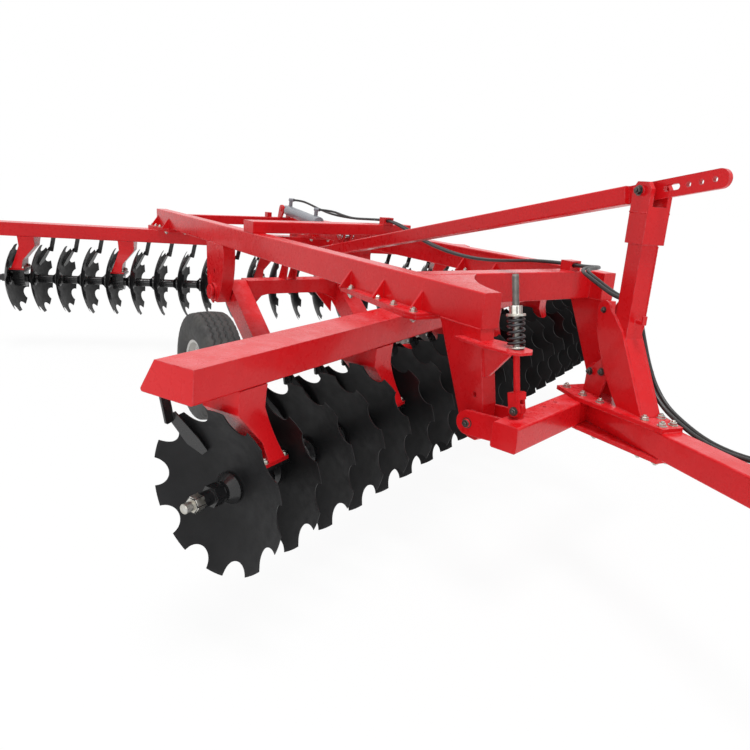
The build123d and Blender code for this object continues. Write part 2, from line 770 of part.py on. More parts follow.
for name, leg_number in (("right", 0), ("left", 1)):
    arm_x = -leg_number * leg_spacing * tan(hitch_skew)
    arm_y = leg_middle + leg_number * leg_spacing
    reach = 250.0 - 10.0 * leg_number
    with BuildPart() as yoke_arm:
        for inset in (-91, 75):
            with BuildSketch(side_plane(arm_x, arm_y, 0, hitch_skew).offset(inset)):
                with BuildLine():
                    Polyline((0, 428), (reach, hitch_bottom + 2), (reach, hitch_top - 2), (0, 542), (0, 428))
                make_face()
                with Locations((0, hinge_z + 1)):
                    Circle(57)
            extrude(amount=16)
        with BuildSketch(side_plane(arm_x, arm_y, hinge_z, hitch_skew).offset(-102)):
            Circle(pin_radius)
        extrude(amount=204)
        add(yoke_crossbar.part, mode=Mode.SUBTRACT)
    save(yoke_arm, "yoke_" + name + "_arm")


# a place on the drawbar: along it, to its left and up
def drawbar_spot(along, left, height):
    forward = Vector(cos(drawbar_turn), sin(drawbar_turn), 0)
    leftward = Vector(-sin(drawbar_turn), cos(drawbar_turn), 0)
    return spot(drawbar_start[0], drawbar_start[1], height) + forward * along + leftward * left


def drawbar_side(left):
    return Plane(
        drawbar_spot(0, left, 0),
        x_dir=(cos(drawbar_turn), sin(drawbar_turn), 0),
        z_dir=(sin(drawbar_turn), -cos(drawbar_turn), 0),
    )


def drawbar_level(height):
    return Plane(drawbar_spot(0, 0, height), x_dir=(cos(drawbar_turn), sin(drawbar_turn), 0), z_dir=(0, 0, 1))


middle_z = (hitch_top + hitch_bottom) / 2
with BuildPart() as drawbar:
    with BuildSketch(end_plane(drawbar_spot(0, 0, middle_z), drawbar_spot(drawbar_length, 0, middle_z))):
        RectangleRounded(drawbar_width, hitch_top - hitch_bottom, 8)
    extrude(amount=drawbar_length)
    for plate_z in (hitch_top, hitch_bottom - 20):
        with BuildSketch(drawbar_level(plate_z)):
            with BuildLine():
                Polyline((-80, -130), (108, -150), (566, -62), (566, 52), (108, 150), (-80, 130), (-80, -130))
            make_face()
        extrude(amount=20)
    add(yoke_crossbar.part, mode=Mode.SUBTRACT)

hitch_eye_along = drawbar_length + 130.0
with BuildPart() as hitch_clevis:
    with BuildSketch(drawbar_level(middle_z - 50)):
        with Locations((drawbar_length + 10, 0)):
            Rectangle(20, 130)
        with Locations((drawbar_length + 40, 0)):
            Rectangle(60, 90)
    extrude(amount=100)
    for tongue_z in (middle_z - 50, middle_z + 24):
        with BuildSketch(drawbar_level(tongue_z)):
            with Locations((drawbar_length + 85, 0)):
                Rectangle(90, 90)
            with Locations((hitch_eye_along, 0)):
                Circle(45)
            with Locations((hitch_eye_along, 0)):
                Circle(17, mode=Mode.SUBTRACT)
        extrude(amount=26)

mast_top = hitch_top + 20.0
with BuildPart() as mast:
    for left in (56, -44):
        with BuildSketch(drawbar_side(left)):
            with BuildLine():
                Line((270, mast_top), (430, mast_top))
                Line((430, mast_top), (226, 916))
                Line((226, 916), (129, 1005))
                ThreePointArc((129, 1005), (80, 1033), (43, 990))
                Line((43, 990), (62, 880))
                ThreePointArc((62, 880), (130, 745), (270, mast_top))
            make_face()
            with Locations((87, 990)):
                Circle(11, mode=Mode.SUBTRACT)
        extrude(amount=12)
    with BuildSketch(drawbar_side(44)):
        with BuildLine():
            Polyline((417, mast_top), (431, mast_top), (228, 917), (214, 917), (417, mast_top))
        make_face()
        with BuildLine():
            Polyline((158, 760), (246, 760), (246, 1320), (158, 1320), (158, 760))
        make_face()
    extrude(amount=88)
    with BuildSketch(drawbar_level(1306)):
        with Locations((208, 0)):
            Rectangle(110, 120)
    extrude(amount=160)
    for left in (60, -38):
        with BuildSketch(drawbar_side(left)):
            with BuildLine():
                Polyline(
                    (153, 1440), (263, 1440), (263, 1540), (240, 1568), (176, 1568), (153, 1540), (153, 1440),
                )
            make_face()
        extrude(amount=22)
    with BuildSketch(drawbar_side(72)):
        with Locations(mast_pin):
            Circle(18)
    extrude(amount=144)
    for left in (40, -28):
        with BuildSketch(drawbar_side(left)):
            with BuildLine():
                Polyline((10, mast_top), (124, mast_top), (190, 770), (118, 775), (14, 672), (10, mast_top))
            make_face()
        extrude(amount=12)
    with BuildSketch(drawbar_side(10)):
        with BuildLine():
            Polyline(
                (240, 960), (296, 960), (296, 1000), (284, 1000), (284, 976), (240, 976), (240, 960),
            )
        make_face()
    extrude(amount=20)
    for link_pin in ((131, 702), (50, 683)):
        with BuildSketch(drawbar_side(50)):
            with Locations(link_pin):
                Circle(14)
        extrude(amount=100)

with BuildPart() as jack:
    with BuildSketch(drawbar_level(120)):
        with Locations((1400, 100)):
            Circle(38)
    extrude(amount=560)
    with BuildSketch(drawbar_level(-lift + 12)):
        with Locations((1400, 100)):
            Circle(28)
    extrude(amount=lift + 120)
    with BuildSketch(drawbar_level(-lift)):
        with Locations((1400, 100)):
            RectangleRounded(190, 190, 30)
    extrude(amount=12)
    with BuildSketch(drawbar_level(hitch_bottom + 10)):
        with Locations((1400, 66)):
            Rectangle(100, 17)
    extrude(amount=96)
    with BuildSketch(drawbar_level(680)):
        with Locations((1400, 100)):
            Circle(44)
    extrude(amount=26)
    with BuildSketch(drawbar_side(100)):
        with Locations((1400, 720)):
            Circle(9)
        with Locations((1470, 726)):
            Rectangle(150, 12)
    extrude(amount=12)
    with BuildSketch(drawbar_level(700)):
        with Locations((1540, 94)):
            Circle(10)
    extrude(amount=120)

# The levelling bar ties the top of the mast to the wheel frame.
bar_rear = spot(-3250, 679, 790)
bar_front = drawbar_spot(mast_pin[0], 0, mast_pin[1])
bar_line = (bar_front - bar_rear).normalized()
bar_length = (bar_front - bar_rear).length
bar_plane = Plane(bar_front, x_dir=bar_line, z_dir=Vector(0, 0, 1).cross(bar_line).normalized() * -1)
with BuildPart() as levelling_bar:
    with BuildSketch(end_plane(bar_rear + bar_line * 140, bar_front)):
        RectangleRounded(80, 80, 8)
    extrude(amount=bar_length - 250)
    with BuildSketch(bar_plane.offset(-12)):
        with Locations((85, 0)):
            SlotOverall(530, 78)
        with Locations((100, 0)):
            SlotOverall(76, 26, mode=Mode.SUBTRACT)
        with Locations((177, 0), (233, 0), (292, 0)):
            Circle(11, mode=Mode.SUBTRACT)
    extrude(amount=24)
    with BuildSketch(bar_plane.offset(-22)):
        with Locations((-bar_length, 0)):
            Circle(44)
        with Locations((-bar_length + 80, 0)):
            Rectangle(160, 72)
    extrude(amount=44)
    with BuildSketch(bar_plane.offset(-22)):
        with Locations((-bar_length, 0)):
            Circle(32)
    extrude(amount=44, mode=Mode.SUBTRACT)
    with BuildSketch(drawbar_side(40)):
        with Locations(mast_pin):
            Circle(18 + running_fit)
    extrude(amount=80, mode=Mode.SUBTRACT)

# The spring rod holds the drawbar up against the bracket on the right leg.
rod_foot = spot(210, 65, 590)
rod_head = spot(100, 65, 1160)
rod_line = (rod_head - rod_foot).normalized()
rod_base = end_plane(rod_foot, rod_head)
with BuildPart() as spring_rod:
    with BuildSketch(rod_base.offset(60)):
        Circle(14)
    extrude(amount=520)
    for cheek in (-30, 14):
        with BuildSketch(rod_pin_plane.offset(cheek)):
            Circle(26)
            with Locations((-8, 38)):
                Rectangle(50, 80, rotation=11)
        extrude(amount=16)
    with BuildSketch(rod_base.offset(46)):
        Rectangle(60, 50)
    extrude(amount=32)
    with BuildSketch(rod_pin_plane.offset(-34)):
        Circle(12 + running_fit)
    extrude(amount=68, mode=Mode.SUBTRACT)
    with BuildSketch(rod_base.offset(404)):
        Circle(40)
    extrude(amount=8)
    with BuildSketch(rod_base.offset(412)):
        RegularPolygon(26, 6)
    extrude(amount=34)

with BuildPart() as spring:
    with BuildLine() as coil:
        Helix(20, 120, 30, center=rod_foot + rod_line * 276, direction=rod_line)
    with BuildSketch(Plane(coil.line @ 0, z_dir=coil.line % 0)):
        Circle(5.5)
    sweep()

for block, name in (
    (cylinder_barrel, "cylinder_barrel"),
    (cylinder_rod, "cylinder_rod"),
    (yoke_crossbar, "yoke_crossbar"),
    (drawbar, "drawbar"),
    (hitch_clevis, "hitch_clevis"),
    (mast, "mast"),
    (jack, "jack"),
    (levelling_bar, "levelling_bar"),
    (spring_rod, "spring_rod"),
    (spring, "spring"),
):
    save(block, name)

# Two hoses run from the cylinder's ports through the guides and along the drawbar's left side.
def hose(points, name):
    runs = [(finish - start).length for start, finish in zip(points, points[1:])]
    turns = [
        radians((middle - start).get_angle(finish - middle))
        for start, middle, finish in zip(points, points[1:], points[2:])
    ]
    radii = [0.45 * min(runs[i], runs[i + 1]) / tan(turn / 2) for i, turn in enumerate(turns)]
    with BuildPart() as tube:
        with BuildLine() as route:
            FilletPolyline(*points, radius=radii)
        with BuildSketch(Plane(points[0], z_dir=points[1] - points[0])):
            Circle(hose_radius)
        sweep()
    length = sum(edge.length for edge in route.edges())
    print(name, "runs", round(min(runs)), round(max(runs)), "radii", [round(radius) for radius in radii])
    print(name, "volume share", round(tube.part.volume / (3.14159 * hose_radius**2 * length), 4), round(length))
    save(tube, name)


def port_face(port):
    return lug_spot + ram_line * port + ram_up * port_height + port_out * (port_reach + 0.3)


rear_sag = ((-2320, 1150), (-2080, 1084), (-1840, 1040), (-1590, 1019), (-1340, 1021), (-1110, 1045), (-890, 1078))
guide_run = (-2630.0, -2480.0)
front_guide_run = (-650.0, -500.0)
# Each hose is cut square to the hitch's hinge line, so that its two lengths slide past each other.
across = Vector(sin(hitch_skew), -cos(hitch_skew), 0)
cut_run = 70.0
crossing = (
    (-415, 1162, 1104, 0.28, 0.96), (-345, 1116, 1113, 0.68, 0.73),
    (-286.5, 1038.8, 1119, cos(hitch_skew), sin(hitch_skew)),
    (-188, 850, 1108, 0.56, 0.83), (-118, 822, 1092, 0.28, 0.96),
)
drawbar_run = (
    (-115, 0, 1062), (-20, 0, 1036), (80, 0, 1030), (150, 0, 962), (196, 0, 868), (254, 0, 762), (318, 0, 678),
    (404, 0, 612), (510, 0, 574), (640, 0, 544), (770, 0, 541), (893, 1, 556), (1000, -5, 580),
)
top_run = ((1110, 59, 592), (1230, 22, 588), (1340, 4, 578), (1450, 0, 571), (1570, 1, 570))
coupler_start = 1680.0
coupler_height = hitch_top + 13.4
middle_height = rail_top + middle_beam_height + hose_height
front_height = rail_top + hose_height
for name, port, offset, start in (
    ("right_hose", ports[1], -hose_gap / 2, ((-3380, 1156, 1183), (-3240, 1159, 1165))),
    ("left_hose", ports[0], hose_gap / 2, (
        (-3930, 1168, 1222), (-3740, 1192, 1182), (-3515, 1184, 1158), (-3280, 1187, 1150),
    )),
):
    side = hose_middle + offset
    points = [port_face(port), port_face(port) + port_out * 84] + [spot(*place) for place in start]
    points += [spot(-3060, side, 1153), spot(-2840, side, 1166)]
    points += [spot(guide_run[0], side, middle_height), spot(guide_run[1], side, middle_height - 1)]
    points += [spot(x, side, z) for x, z in rear_sag]
    points += [spot(front_guide_run[0], side, front_height), spot(front_guide_run[1], side, front_height + 1)]
    points += [spot(x + offset * aside_x, y + offset * aside_y, z) for x, y, z, aside_x, aside_y in crossing[:3]]
    hose(points + [points[-1] + across * (cut_run - 0.3)], name + "_rear")

    left = 95 + offset
    points = [points[-1] + across * (cut_run + 0.3), points[-1] + across * 2 * cut_run]
    points += [spot(x + offset * aside_x, y + offset * aside_y, z) for x, y, z, aside_x, aside_y in crossing[3:]]
    points += [drawbar_spot(along, left + shift, height) for along, shift, height in drawbar_run]
    points += [drawbar_spot(along, offset + shift, height) for along, shift, height in top_run]
    points += [drawbar_spot(coupler_start - 0.3, offset + 1, coupler_height)]
    hose(points, name + "_front")

with BuildPart() as hose_couplers:
    ahead = Vector(cos(drawbar_turn), sin(drawbar_turn), 0)
    for offset in (-hose_gap / 2, hose_gap / 2):
        coupler_foot = drawbar_spot(coupler_start, offset + 1, coupler_height)
        for start, length, radius in ((0, 24, 11), (24, 44, 13), (68, 18, 9)):
            with BuildSketch(Plane(coupler_foot + ahead * start, z_dir=ahead)):
                Circle(radius)
            extrude(amount=length)
save(hose_couplers, "hose_couplers")
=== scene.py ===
import bpy
import bmesh
from math import cos, pi, radians, sin, tan
from mathutils import Matrix, Vector


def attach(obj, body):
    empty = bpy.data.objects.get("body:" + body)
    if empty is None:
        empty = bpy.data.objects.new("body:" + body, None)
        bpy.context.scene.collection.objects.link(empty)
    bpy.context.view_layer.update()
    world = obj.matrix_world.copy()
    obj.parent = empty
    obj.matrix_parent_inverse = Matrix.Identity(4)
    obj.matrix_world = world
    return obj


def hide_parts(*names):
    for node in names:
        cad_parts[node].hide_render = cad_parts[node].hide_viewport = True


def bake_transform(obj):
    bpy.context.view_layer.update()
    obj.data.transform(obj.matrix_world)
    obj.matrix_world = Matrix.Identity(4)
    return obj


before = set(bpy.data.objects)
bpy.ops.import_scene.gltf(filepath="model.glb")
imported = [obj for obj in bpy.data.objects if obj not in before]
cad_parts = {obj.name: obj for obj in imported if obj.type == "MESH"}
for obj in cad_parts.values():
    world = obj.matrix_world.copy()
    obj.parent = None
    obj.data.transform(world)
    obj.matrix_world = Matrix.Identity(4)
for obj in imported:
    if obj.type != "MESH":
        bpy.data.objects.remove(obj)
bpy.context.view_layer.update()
scene = bpy.context.scene

# the camera stands low at the machine's front right corner
cameraPlace = {
    "location": (3.98807, -2.75958, 1.858),
    "yaw": 33.673,
    "pitch": 16.01,
    "roll": 3.939,
    "focalPixels": 686.43,
    "imageWidth": 750,
}


def addCamera(place):
    yaw, pitch, roll = (radians(place[name]) for name in ("yaw", "pitch", "roll"))
    forward = Vector((-cos(yaw) * cos(pitch), sin(yaw) * cos(pitch), -sin(pitch)))
    levelRight = Vector((sin(yaw), cos(yaw), 0))
    levelUp = levelRight.cross(forward)
    right = levelRight * cos(roll) + levelUp * sin(roll)
    up = levelUp * cos(roll) - levelRight * sin(roll)
    data = bpy.data.cameras.new("camera")
    data.sensor_width = 36
    data.lens = place["focalPixels"] / place["imageWidth"] * 36
    data.clip_end = 200
    camera = bpy.data.objects.new("camera", data)
    turn = Matrix((right, up, -forward)).transposed().to_4x4()
    camera.matrix_world = Matrix.Translation(place["location"]) @ turn
    scene.collection.objects.link(camera)
    scene.camera = camera


addCamera(cameraPlace)
print("stage: camera")

# a place counted as the CAD script counts it, in metres
def place(x, y, z):
    return Vector((x + 1.78607, y - 0.75258, z + 0.35))


up = Vector((0, 0, 1))
drawbarTurn = radians(-11.6)
drawbarLeft = Vector((-sin(drawbarTurn), cos(drawbarTurn), 0))
hitchSkew = radians(16.5)
hingeLine = Vector((-sin(hitchSkew), cos(hitchSkew), 0))
axle = {"x": -2.65, "height": 0.06}


def onDrawbar(along, left, height):
    x = 0.07 + along * cos(drawbarTurn) - left * sin(drawbarTurn)
    y = 0.6863 + along * sin(drawbarTurn) + left * cos(drawbarTurn)
    return place(x, y, height)


frontAngle = radians(25.15)
rearAngle = radians(22.85)
beamLength = 4.37
firstDisc = 0.088  # from the beam's end
gangs = {
    "front": {
        "start": place(-0.055 - firstDisc * sin(frontAngle), -1.188 + firstDisc * cos(frontAngle), 0.33),
        "along": Vector((-sin(frontAngle), cos(frontAngle), 0)),
        "behind": Vector((-cos(frontAngle), -sin(frontAngle), 0)),
    },
    "rear": {
        "start": place(
            -5.356 + (beamLength - firstDisc) * sin(rearAngle),
            -1.262 + (beamLength - firstDisc) * cos(rearAngle),
            0.33,
        ),
        "along": Vector((-sin(rearAngle), -cos(rearAngle), 0)),
        "behind": Vector((-cos(rearAngle), sin(rearAngle), 0)),
    },
}


def onGang(name, along, behind, height):
    gang = gangs[name]
    return gang["start"] + gang["along"] * along + gang["behind"] * behind + Vector((0, 0, height))


# materials
class Shader:
    def __init__(self, name):
        self.material = bpy.data.materials.new(name)
        self.material.use_nodes = True
        self.tree = self.material.node_tree
        self.main = self.tree.nodes["Principled BSDF"]
        self.coordinates = self.node("ShaderNodeTexCoord").outputs["Object"]

    def node(self, kind, **values):
        made = self.tree.nodes.new(kind)
        for key, value in values.items():
            setattr(made, key, value)
        return made

    def link(self, source, target):
        self.tree.links.new(source, target)

    def noise(self, scale, detail=4.0, roughness=0.55, source=None):
        made = self.node("ShaderNodeTexNoise")
        made.inputs["Scale"].default_value = scale
        made.inputs["Detail"].default_value = detail
        made.inputs["Roughness"].default_value = roughness
        self.link(source or self.coordinates, made.inputs["Vector"])
        return made.outputs["Fac"]

    def spread(self, source, low, high, start=0.3, end=0.7):
        made = self.node("ShaderNodeMapRange")
        made.inputs["From Min"].default_value = start
        made.inputs["From Max"].default_value = end
        made.inputs["To Min"].default_value = low
        made.inputs["To Max"].default_value = high
        self.link(source, made.inputs["Value"])
        return made.outputs["Result"]

    def blendColours(self, factor, first, second):
        made = self.node("ShaderNodeMix", data_type="RGBA")
        self.link(factor, made.inputs[0])
        for number, colour in ((6, first), (7, second)):
            if isinstance(colour, tuple):
                made.inputs[number].default_value = (*colour, 1)
            else:
                self.link(colour, made.inputs[number])
        return made.outputs[2]

    def bump(self, source, strength, distance, normal=None):
        made = self.node("ShaderNodeBump")
        made.inputs["Strength"].default_value = strength
        made.inputs["Distance"].default_value = distance
        self.link(source, made.inputs["Height"])
        if normal:
            self.link(normal, made.inputs["Normal"])
        return made.outputs["Normal"]

    def softEdge(self, radius):
        made = self.node("ShaderNodeBevel", samples=4)
        made.inputs["Radius"].default_value = radius
        return made.outputs["Normal"]

    # near 1 along sharp edges, from how far the rounded normal leans
    def edgeMask(self, rounded):
        flat = self.node("ShaderNodeNewGeometry").outputs["Normal"]
        dot = self.node("ShaderNodeVectorMath", operation="DOT_PRODUCT")
        self.link(rounded, dot.inputs[0])
        self.link(flat, dot.inputs[1])
        return self.spread(dot.outputs["Value"], 1.0, 0.0, 0.86, 0.995)

    # near 1 on faces that look up, where dust settles and where a painted highlight lightens the paint
    def topMask(self):
        parts = self.node("ShaderNodeSeparateXYZ")
        self.link(self.node("ShaderNodeNewGeometry").outputs["Normal"], parts.inputs["Vector"])
        return self.spread(parts.outputs["Z"], 0.0, 1.0, 0.4, 0.95)

    def multiply(self, first, second):
        made = self.node("ShaderNodeMath", operation="MULTIPLY")
        for number, value in enumerate((first, second)):
            if isinstance(value, float):
                made.inputs[number].default_value = value
            else:
                self.link(value, made.inputs[number])
        return made.outputs["Value"]

    def set(self, **values):
        for key, value in values.items():
            socket = self.main.inputs[key.replace("_", " ")]
            if isinstance(value, tuple):
                socket.default_value = (*value, 1)
            elif isinstance(value, (int, float)):
                socket.default_value = value
            else:
                self.link(value, socket)
        return self


# how fine each pattern of the paint is
paintGrain = {"chipsAndGlints": 38, "patches": 2.2, "dustAndHighlight": 9, "peel": 240, "wave": 14, "gloss": 26}


def paint(name, base, shade, dustAndHighlight, looks):
    shader = Shader(name)
    rounded = shader.softEdge(looks["edge"])
    chipsAndGlints = shader.spread(shader.noise(paintGrain["chipsAndGlints"], 5), 0.0, 1.0, 0.42, 0.62)
    edges = shader.multiply(shader.edgeMask(rounded), chipsAndGlints)
    patches = shader.spread(shader.noise(paintGrain["patches"], 5), 0.0, 1.0)
    colour = shader.blendColours(patches, base, shade)
    # faces that look up turn toward the lighter third colour under a noise cloud: settled dust, and a painted
    # highlight on the upward faces
    cloud = shader.noise(paintGrain["dustAndHighlight"], 8, 0.7)
    dustAndHighlightShare = shader.multiply(shader.topMask(), shader.spread(cloud, 0.0, looks["dustAndHighlight"], 0.45, 0.75))
    colour = shader.blendColours(dustAndHighlightShare, colour, dustAndHighlight)
    # along sharp edges, where the chip noise is high, the paint turns toward the same lighter colour: edge wear,
    # and a painted edge highlight
    colour = shader.blendColours(shader.multiply(edges, looks["edgeWearAndHighlight"]), colour, dustAndHighlight)
    peel = shader.bump(shader.noise(paintGrain["peel"], 2), looks["peel"], 0.0006, rounded)
    wave = shader.bump(shader.noise(paintGrain["wave"], 2), 0.06, 0.004, peel)
    roughness = shader.spread(shader.noise(paintGrain["gloss"], 6, 0.65), *looks["gloss"])
    shader.set(Base_Color=colour, Roughness=roughness, Normal=wave)
    shader.set(Coat_Weight=looks["coat"], Coat_Roughness=0.07, Specular_IOR_Level=looks["shine"])
    return shader.material


# the red's third colour is a light pink: the colour of dust and of the painted highlight on its tops and edges
redPaint = paint(
    "redPaint", (0.72, 0.010, 0.014), (0.62, 0.007, 0.011), (0.84, 0.20, 0.23),
    {"edge": 0.006, "dustAndHighlight": 0.45, "edgeWearAndHighlight": 0.5, "peel": 0.08, "gloss": (0.22, 0.36), "coat": 0.14, "shine": 0.2},
)
blackPaint = paint(
    "blackPaint", (0.008, 0.008, 0.009), (0.013, 0.013, 0.014), (0.05, 0.048, 0.045),
    {"edge": 0.003, "dustAndHighlight": 0.4, "edgeWearAndHighlight": 0.5, "peel": 0.12, "gloss": (0.2, 0.42), "coat": 0.35, "shine": 0.4},
)
greyPaint = paint(
    "greyPaint", (0.29, 0.30, 0.33), (0.24, 0.25, 0.28), (0.42, 0.40, 0.37),
    {"edge": 0.002, "dustAndHighlight": 0.35, "edgeWearAndHighlight": 0.4, "peel": 0.10, "gloss": (0.22, 0.4), "coat": 0.3, "shine": 0.5},
)
rimPaint = paint(
    "rimPaint", (0.56, 0.55, 0.52), (0.48, 0.47, 0.44), (0.30, 0.27, 0.23),
    {"edge": 0.002, "dustAndHighlight": 0.5, "edgeWearAndHighlight": 0.5, "peel": 0.10, "gloss": (0.3, 0.5), "coat": 0.15, "shine": 0.4},
)


def metal(name, base, shade, gloss, grain=180):
    shader = Shader(name)
    patches = shader.spread(shader.noise(34, 6, 0.6), 0.0, 1.0, 0.35, 0.65)
    colour = shader.blendColours(patches, base, shade)
    normal = shader.bump(shader.noise(grain, 3), 0.08, 0.0004)
    roughness = shader.spread(shader.noise(70, 5), *gloss)
    shader.set(Base_Color=colour, Metallic=1.0, Roughness=roughness, Normal=normal)
    return shader.material


zinc = metal("zinc", (0.60, 0.59, 0.56), (0.46, 0.44, 0.38), (0.26, 0.46))
chrome = metal("chrome", (0.80, 0.80, 0.82), (0.72, 0.72, 0.74), (0.05, 0.12), 400)
springSteel = metal("springSteel", (0.075, 0.075, 0.08), (0.045, 0.045, 0.045), (0.32, 0.46))
couplerSteel = metal("couplerSteel", (0.66, 0.64, 0.58), (0.52, 0.50, 0.44), (0.2, 0.36))
pinSteel = metal("pinSteel", (0.16, 0.15, 0.14), (0.09, 0.085, 0.08), (0.36, 0.55))


# the spring's rod is bare steel above its plate and red below it
def rodSteel(level, redBase, steelBase):
    shader = Shader("rodSteel")
    parts = shader.node("ShaderNodeSeparateXYZ")
    shader.link(shader.coordinates, parts.inputs["Vector"])
    bare = shader.spread(parts.outputs["Z"], 0.0, 1.0, level - 0.003, level + 0.003)
    patches = shader.spread(shader.noise(60, 6), 0.0, 1.0)
    steel = shader.blendColours(patches, steelBase, tuple(value * 0.6 for value in steelBase))
    red = shader.blendColours(patches, redBase, tuple(value * 0.85 for value in redBase))
    normal = shader.bump(shader.noise(200, 3), 0.1, 0.0005, shader.softEdge(0.002))
    shader.set(Base_Color=shader.blendColours(bare, red, steel), Metallic=bare, Normal=normal)
    shader.set(Roughness=shader.spread(shader.noise(50, 5), 0.3, 0.48), Specular_IOR_Level=0.2)
    return shader.material


springRodSteel = rodSteel(1.19, (0.70, 0.010, 0.014), (0.30, 0.29, 0.27))


# the discs' dark finish has fine turning marks round each gang's own line
def discSteel(name):
    shader = Shader("discSteel_" + name)
    gang = gangs[name]
    turned = shader.node("ShaderNodeMapping", vector_type="TEXTURE")
    turned.inputs["Location"].default_value = gang["start"]
    turned.inputs["Rotation"].default_value[2] = gang["along"].to_2d().angle_signed(Vector((1, 0)))
    shader.link(shader.coordinates, turned.inputs["Vector"])
    parts = shader.node("ShaderNodeSeparateXYZ")
    shader.link(turned.outputs["Vector"], parts.inputs["Vector"])
    ring = shader.node("ShaderNodeCombineXYZ")
    shader.link(parts.outputs["Y"], ring.inputs["X"])
    shader.link(parts.outputs["Z"], ring.inputs["Y"])
    length = shader.node("ShaderNodeVectorMath", operation="LENGTH")
    shader.link(ring.outputs["Vector"], length.inputs[0])
    marks = shader.node("ShaderNodeCombineXYZ")
    shader.link(shader.multiply(length.outputs["Value"], 260.0), marks.inputs["X"])
    shader.link(parts.outputs["X"], marks.inputs["Y"])
    turning = shader.noise(1.0, 3, 0.6, marks.outputs["Vector"])
    cloud = shader.noise(7, 7, 0.62)
    colour = shader.blendColours(shader.spread(cloud, 0.0, 1.0), (0.006, 0.006, 0.0065), (0.013, 0.013, 0.014))
    rim = shader.spread(length.outputs["Value"], 0.0, 0.7, 0.312, 0.332)
    worn = shader.multiply(rim, shader.spread(shader.noise(30, 5), 0.0, 1.0, 0.4, 0.65))
    colour = shader.blendColours(worn, colour, (0.026, 0.026, 0.027))
    normal = shader.bump(turning, 0.10, 0.0006, shader.bump(cloud, 0.05, 0.004))
    shader.set(Base_Color=colour, Roughness=shader.spread(shader.noise(22, 6), 0.36, 0.55), Normal=normal)
    shader.set(Metallic=0.0, Coat_Weight=0.0, Specular_IOR_Level=0.2)
    return shader.material


def rubber(name, base, shade, dustAndHighlight, gloss):
    shader = Shader(name)
    patches = shader.spread(shader.noise(18, 7, 0.65), 0.0, 1.0)
    colour = shader.blendColours(patches, base, shade)
    dustAndHighlightShare = shader.spread(shader.noise(5, 8, 0.7), 0.0, 0.4, 0.45, 0.75)
    colour = shader.blendColours(dustAndHighlightShare, colour, dustAndHighlight)
    normal = shader.bump(shader.noise(320, 3), 0.2, 0.0006)
    shader.set(Base_Color=colour, Roughness=shader.spread(shader.noise(40, 5), *gloss), Normal=normal)
    return shader.material


tyreRubber = rubber(
    "tyreRubber", (0.042, 0.041, 0.040), (0.028, 0.028, 0.028), (0.16, 0.15, 0.13), (0.6, 0.85),
)
hoseRubber = rubber(
    "hoseRubber", (0.014, 0.014, 0.014), (0.022, 0.022, 0.022), (0.05, 0.048, 0.045), (0.32, 0.5),
)
discSteels = {name: discSteel(name) for name in gangs}


def materialFor(node):
    if node.endswith("_discs"):
        return discSteels[node.split("_")[0]]
    if node.endswith(("_shaft", "_scrapers", "_bearings")):
        return blackPaint
    if node.endswith("_tyre"):
        return tyreRubber
    if node.endswith("_rim"):
        return rimPaint
    if node.startswith(("left_hose", "right_hose")):
        return hoseRubber
    others = {
        "cylinder_barrel": greyPaint, "cylinder_rod": chrome, "spring": springSteel,
        "spring_rod": springRodSteel, "hose_couplers": couplerSteel,
    }
    return others.get(node, redPaint)


for nodeName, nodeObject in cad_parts.items():
    nodeObject.data.materials.clear()
    nodeObject.data.materials.append(materialFor(nodeName))
print("stage: materials on the frame")


# light and floor
def addLight(name, kind, looks):
    data = bpy.data.lights.new(name, kind)
    data.energy = looks["energy"]
    if kind == "SUN":
        data.angle = looks["size"]
    else:
        data.shape = "DISK"
        data.size = looks["size"]
    lamp = bpy.data.objects.new(name, data)
    lamp.location = looks["from"]
    lamp.rotation_euler = (Vector(looks["at"]) - Vector(looks["from"])).to_track_quat("-Z", "Y").to_euler()
    scene.collection.objects.link(lamp)


# white to the camera and in reflections, and a plain level of light for the rest
def whiteOutside(tree, output, shade, level):
    path = tree.nodes.new("ShaderNodeLightPath")
    first = tree.nodes.new("ShaderNodeMath")
    first.operation = "MAXIMUM"
    tree.links.new(path.outputs["Is Camera Ray"], first.inputs[0])
    tree.links.new(path.outputs["Is Glossy Ray"], first.inputs[1])
    second = tree.nodes.new("ShaderNodeMath")
    second.operation = "MAXIMUM"
    tree.links.new(first.outputs[0], second.inputs[0])
    tree.links.new(path.outputs["Is Transmission Ray"], second.inputs[1])
    share = tree.nodes.new("ShaderNodeMath")
    share.operation = "MULTIPLY"
    share.inputs[1].default_value = level
    tree.links.new(second.outputs[0], share.inputs[0])
    white = tree.nodes.new("ShaderNodeEmission" if shade.type != "BACKGROUND" else "ShaderNodeBackground")
    white.inputs["Strength"].default_value = 1.0
    white.inputs["Color"].default_value = (1, 1, 1, 1)
    mix = tree.nodes.new("ShaderNodeMixShader")
    tree.links.new(share.outputs[0], mix.inputs[0])
    tree.links.new(shade.outputs[0], mix.inputs[1])
    tree.links.new(white.outputs[0], mix.inputs[2])
    tree.links.new(mix.outputs[0], output.inputs["Surface"])


studio = {
    "worldTint": (0.97, 0.985, 1, 1),
    "worldLevel": 0.46,
    "floorTint": (0.9, 0.9, 0.9, 1),
    "floorWhite": 0.94,
    "floorSize": 120,
    "key": {"from": (0.9, -0.4, 6.0), "at": (0, 0, 0), "energy": 2.2, "size": radians(20)},
    "side": {"from": (5.5, -5.5, 3.2), "at": (0, 0, 0.8), "energy": 60, "size": 3.2},
}
scene.view_settings.view_transform = "Standard"
world = bpy.data.worlds.new("studio")
scene.world = world
world.use_nodes = True
worldShade = world.node_tree.nodes["Background"]
worldShade.inputs["Color"].default_value = studio["worldTint"]
worldShade.inputs["Strength"].default_value = studio["worldLevel"]
whiteOutside(world.node_tree, world.node_tree.nodes["World Output"], worldShade, 1.0)

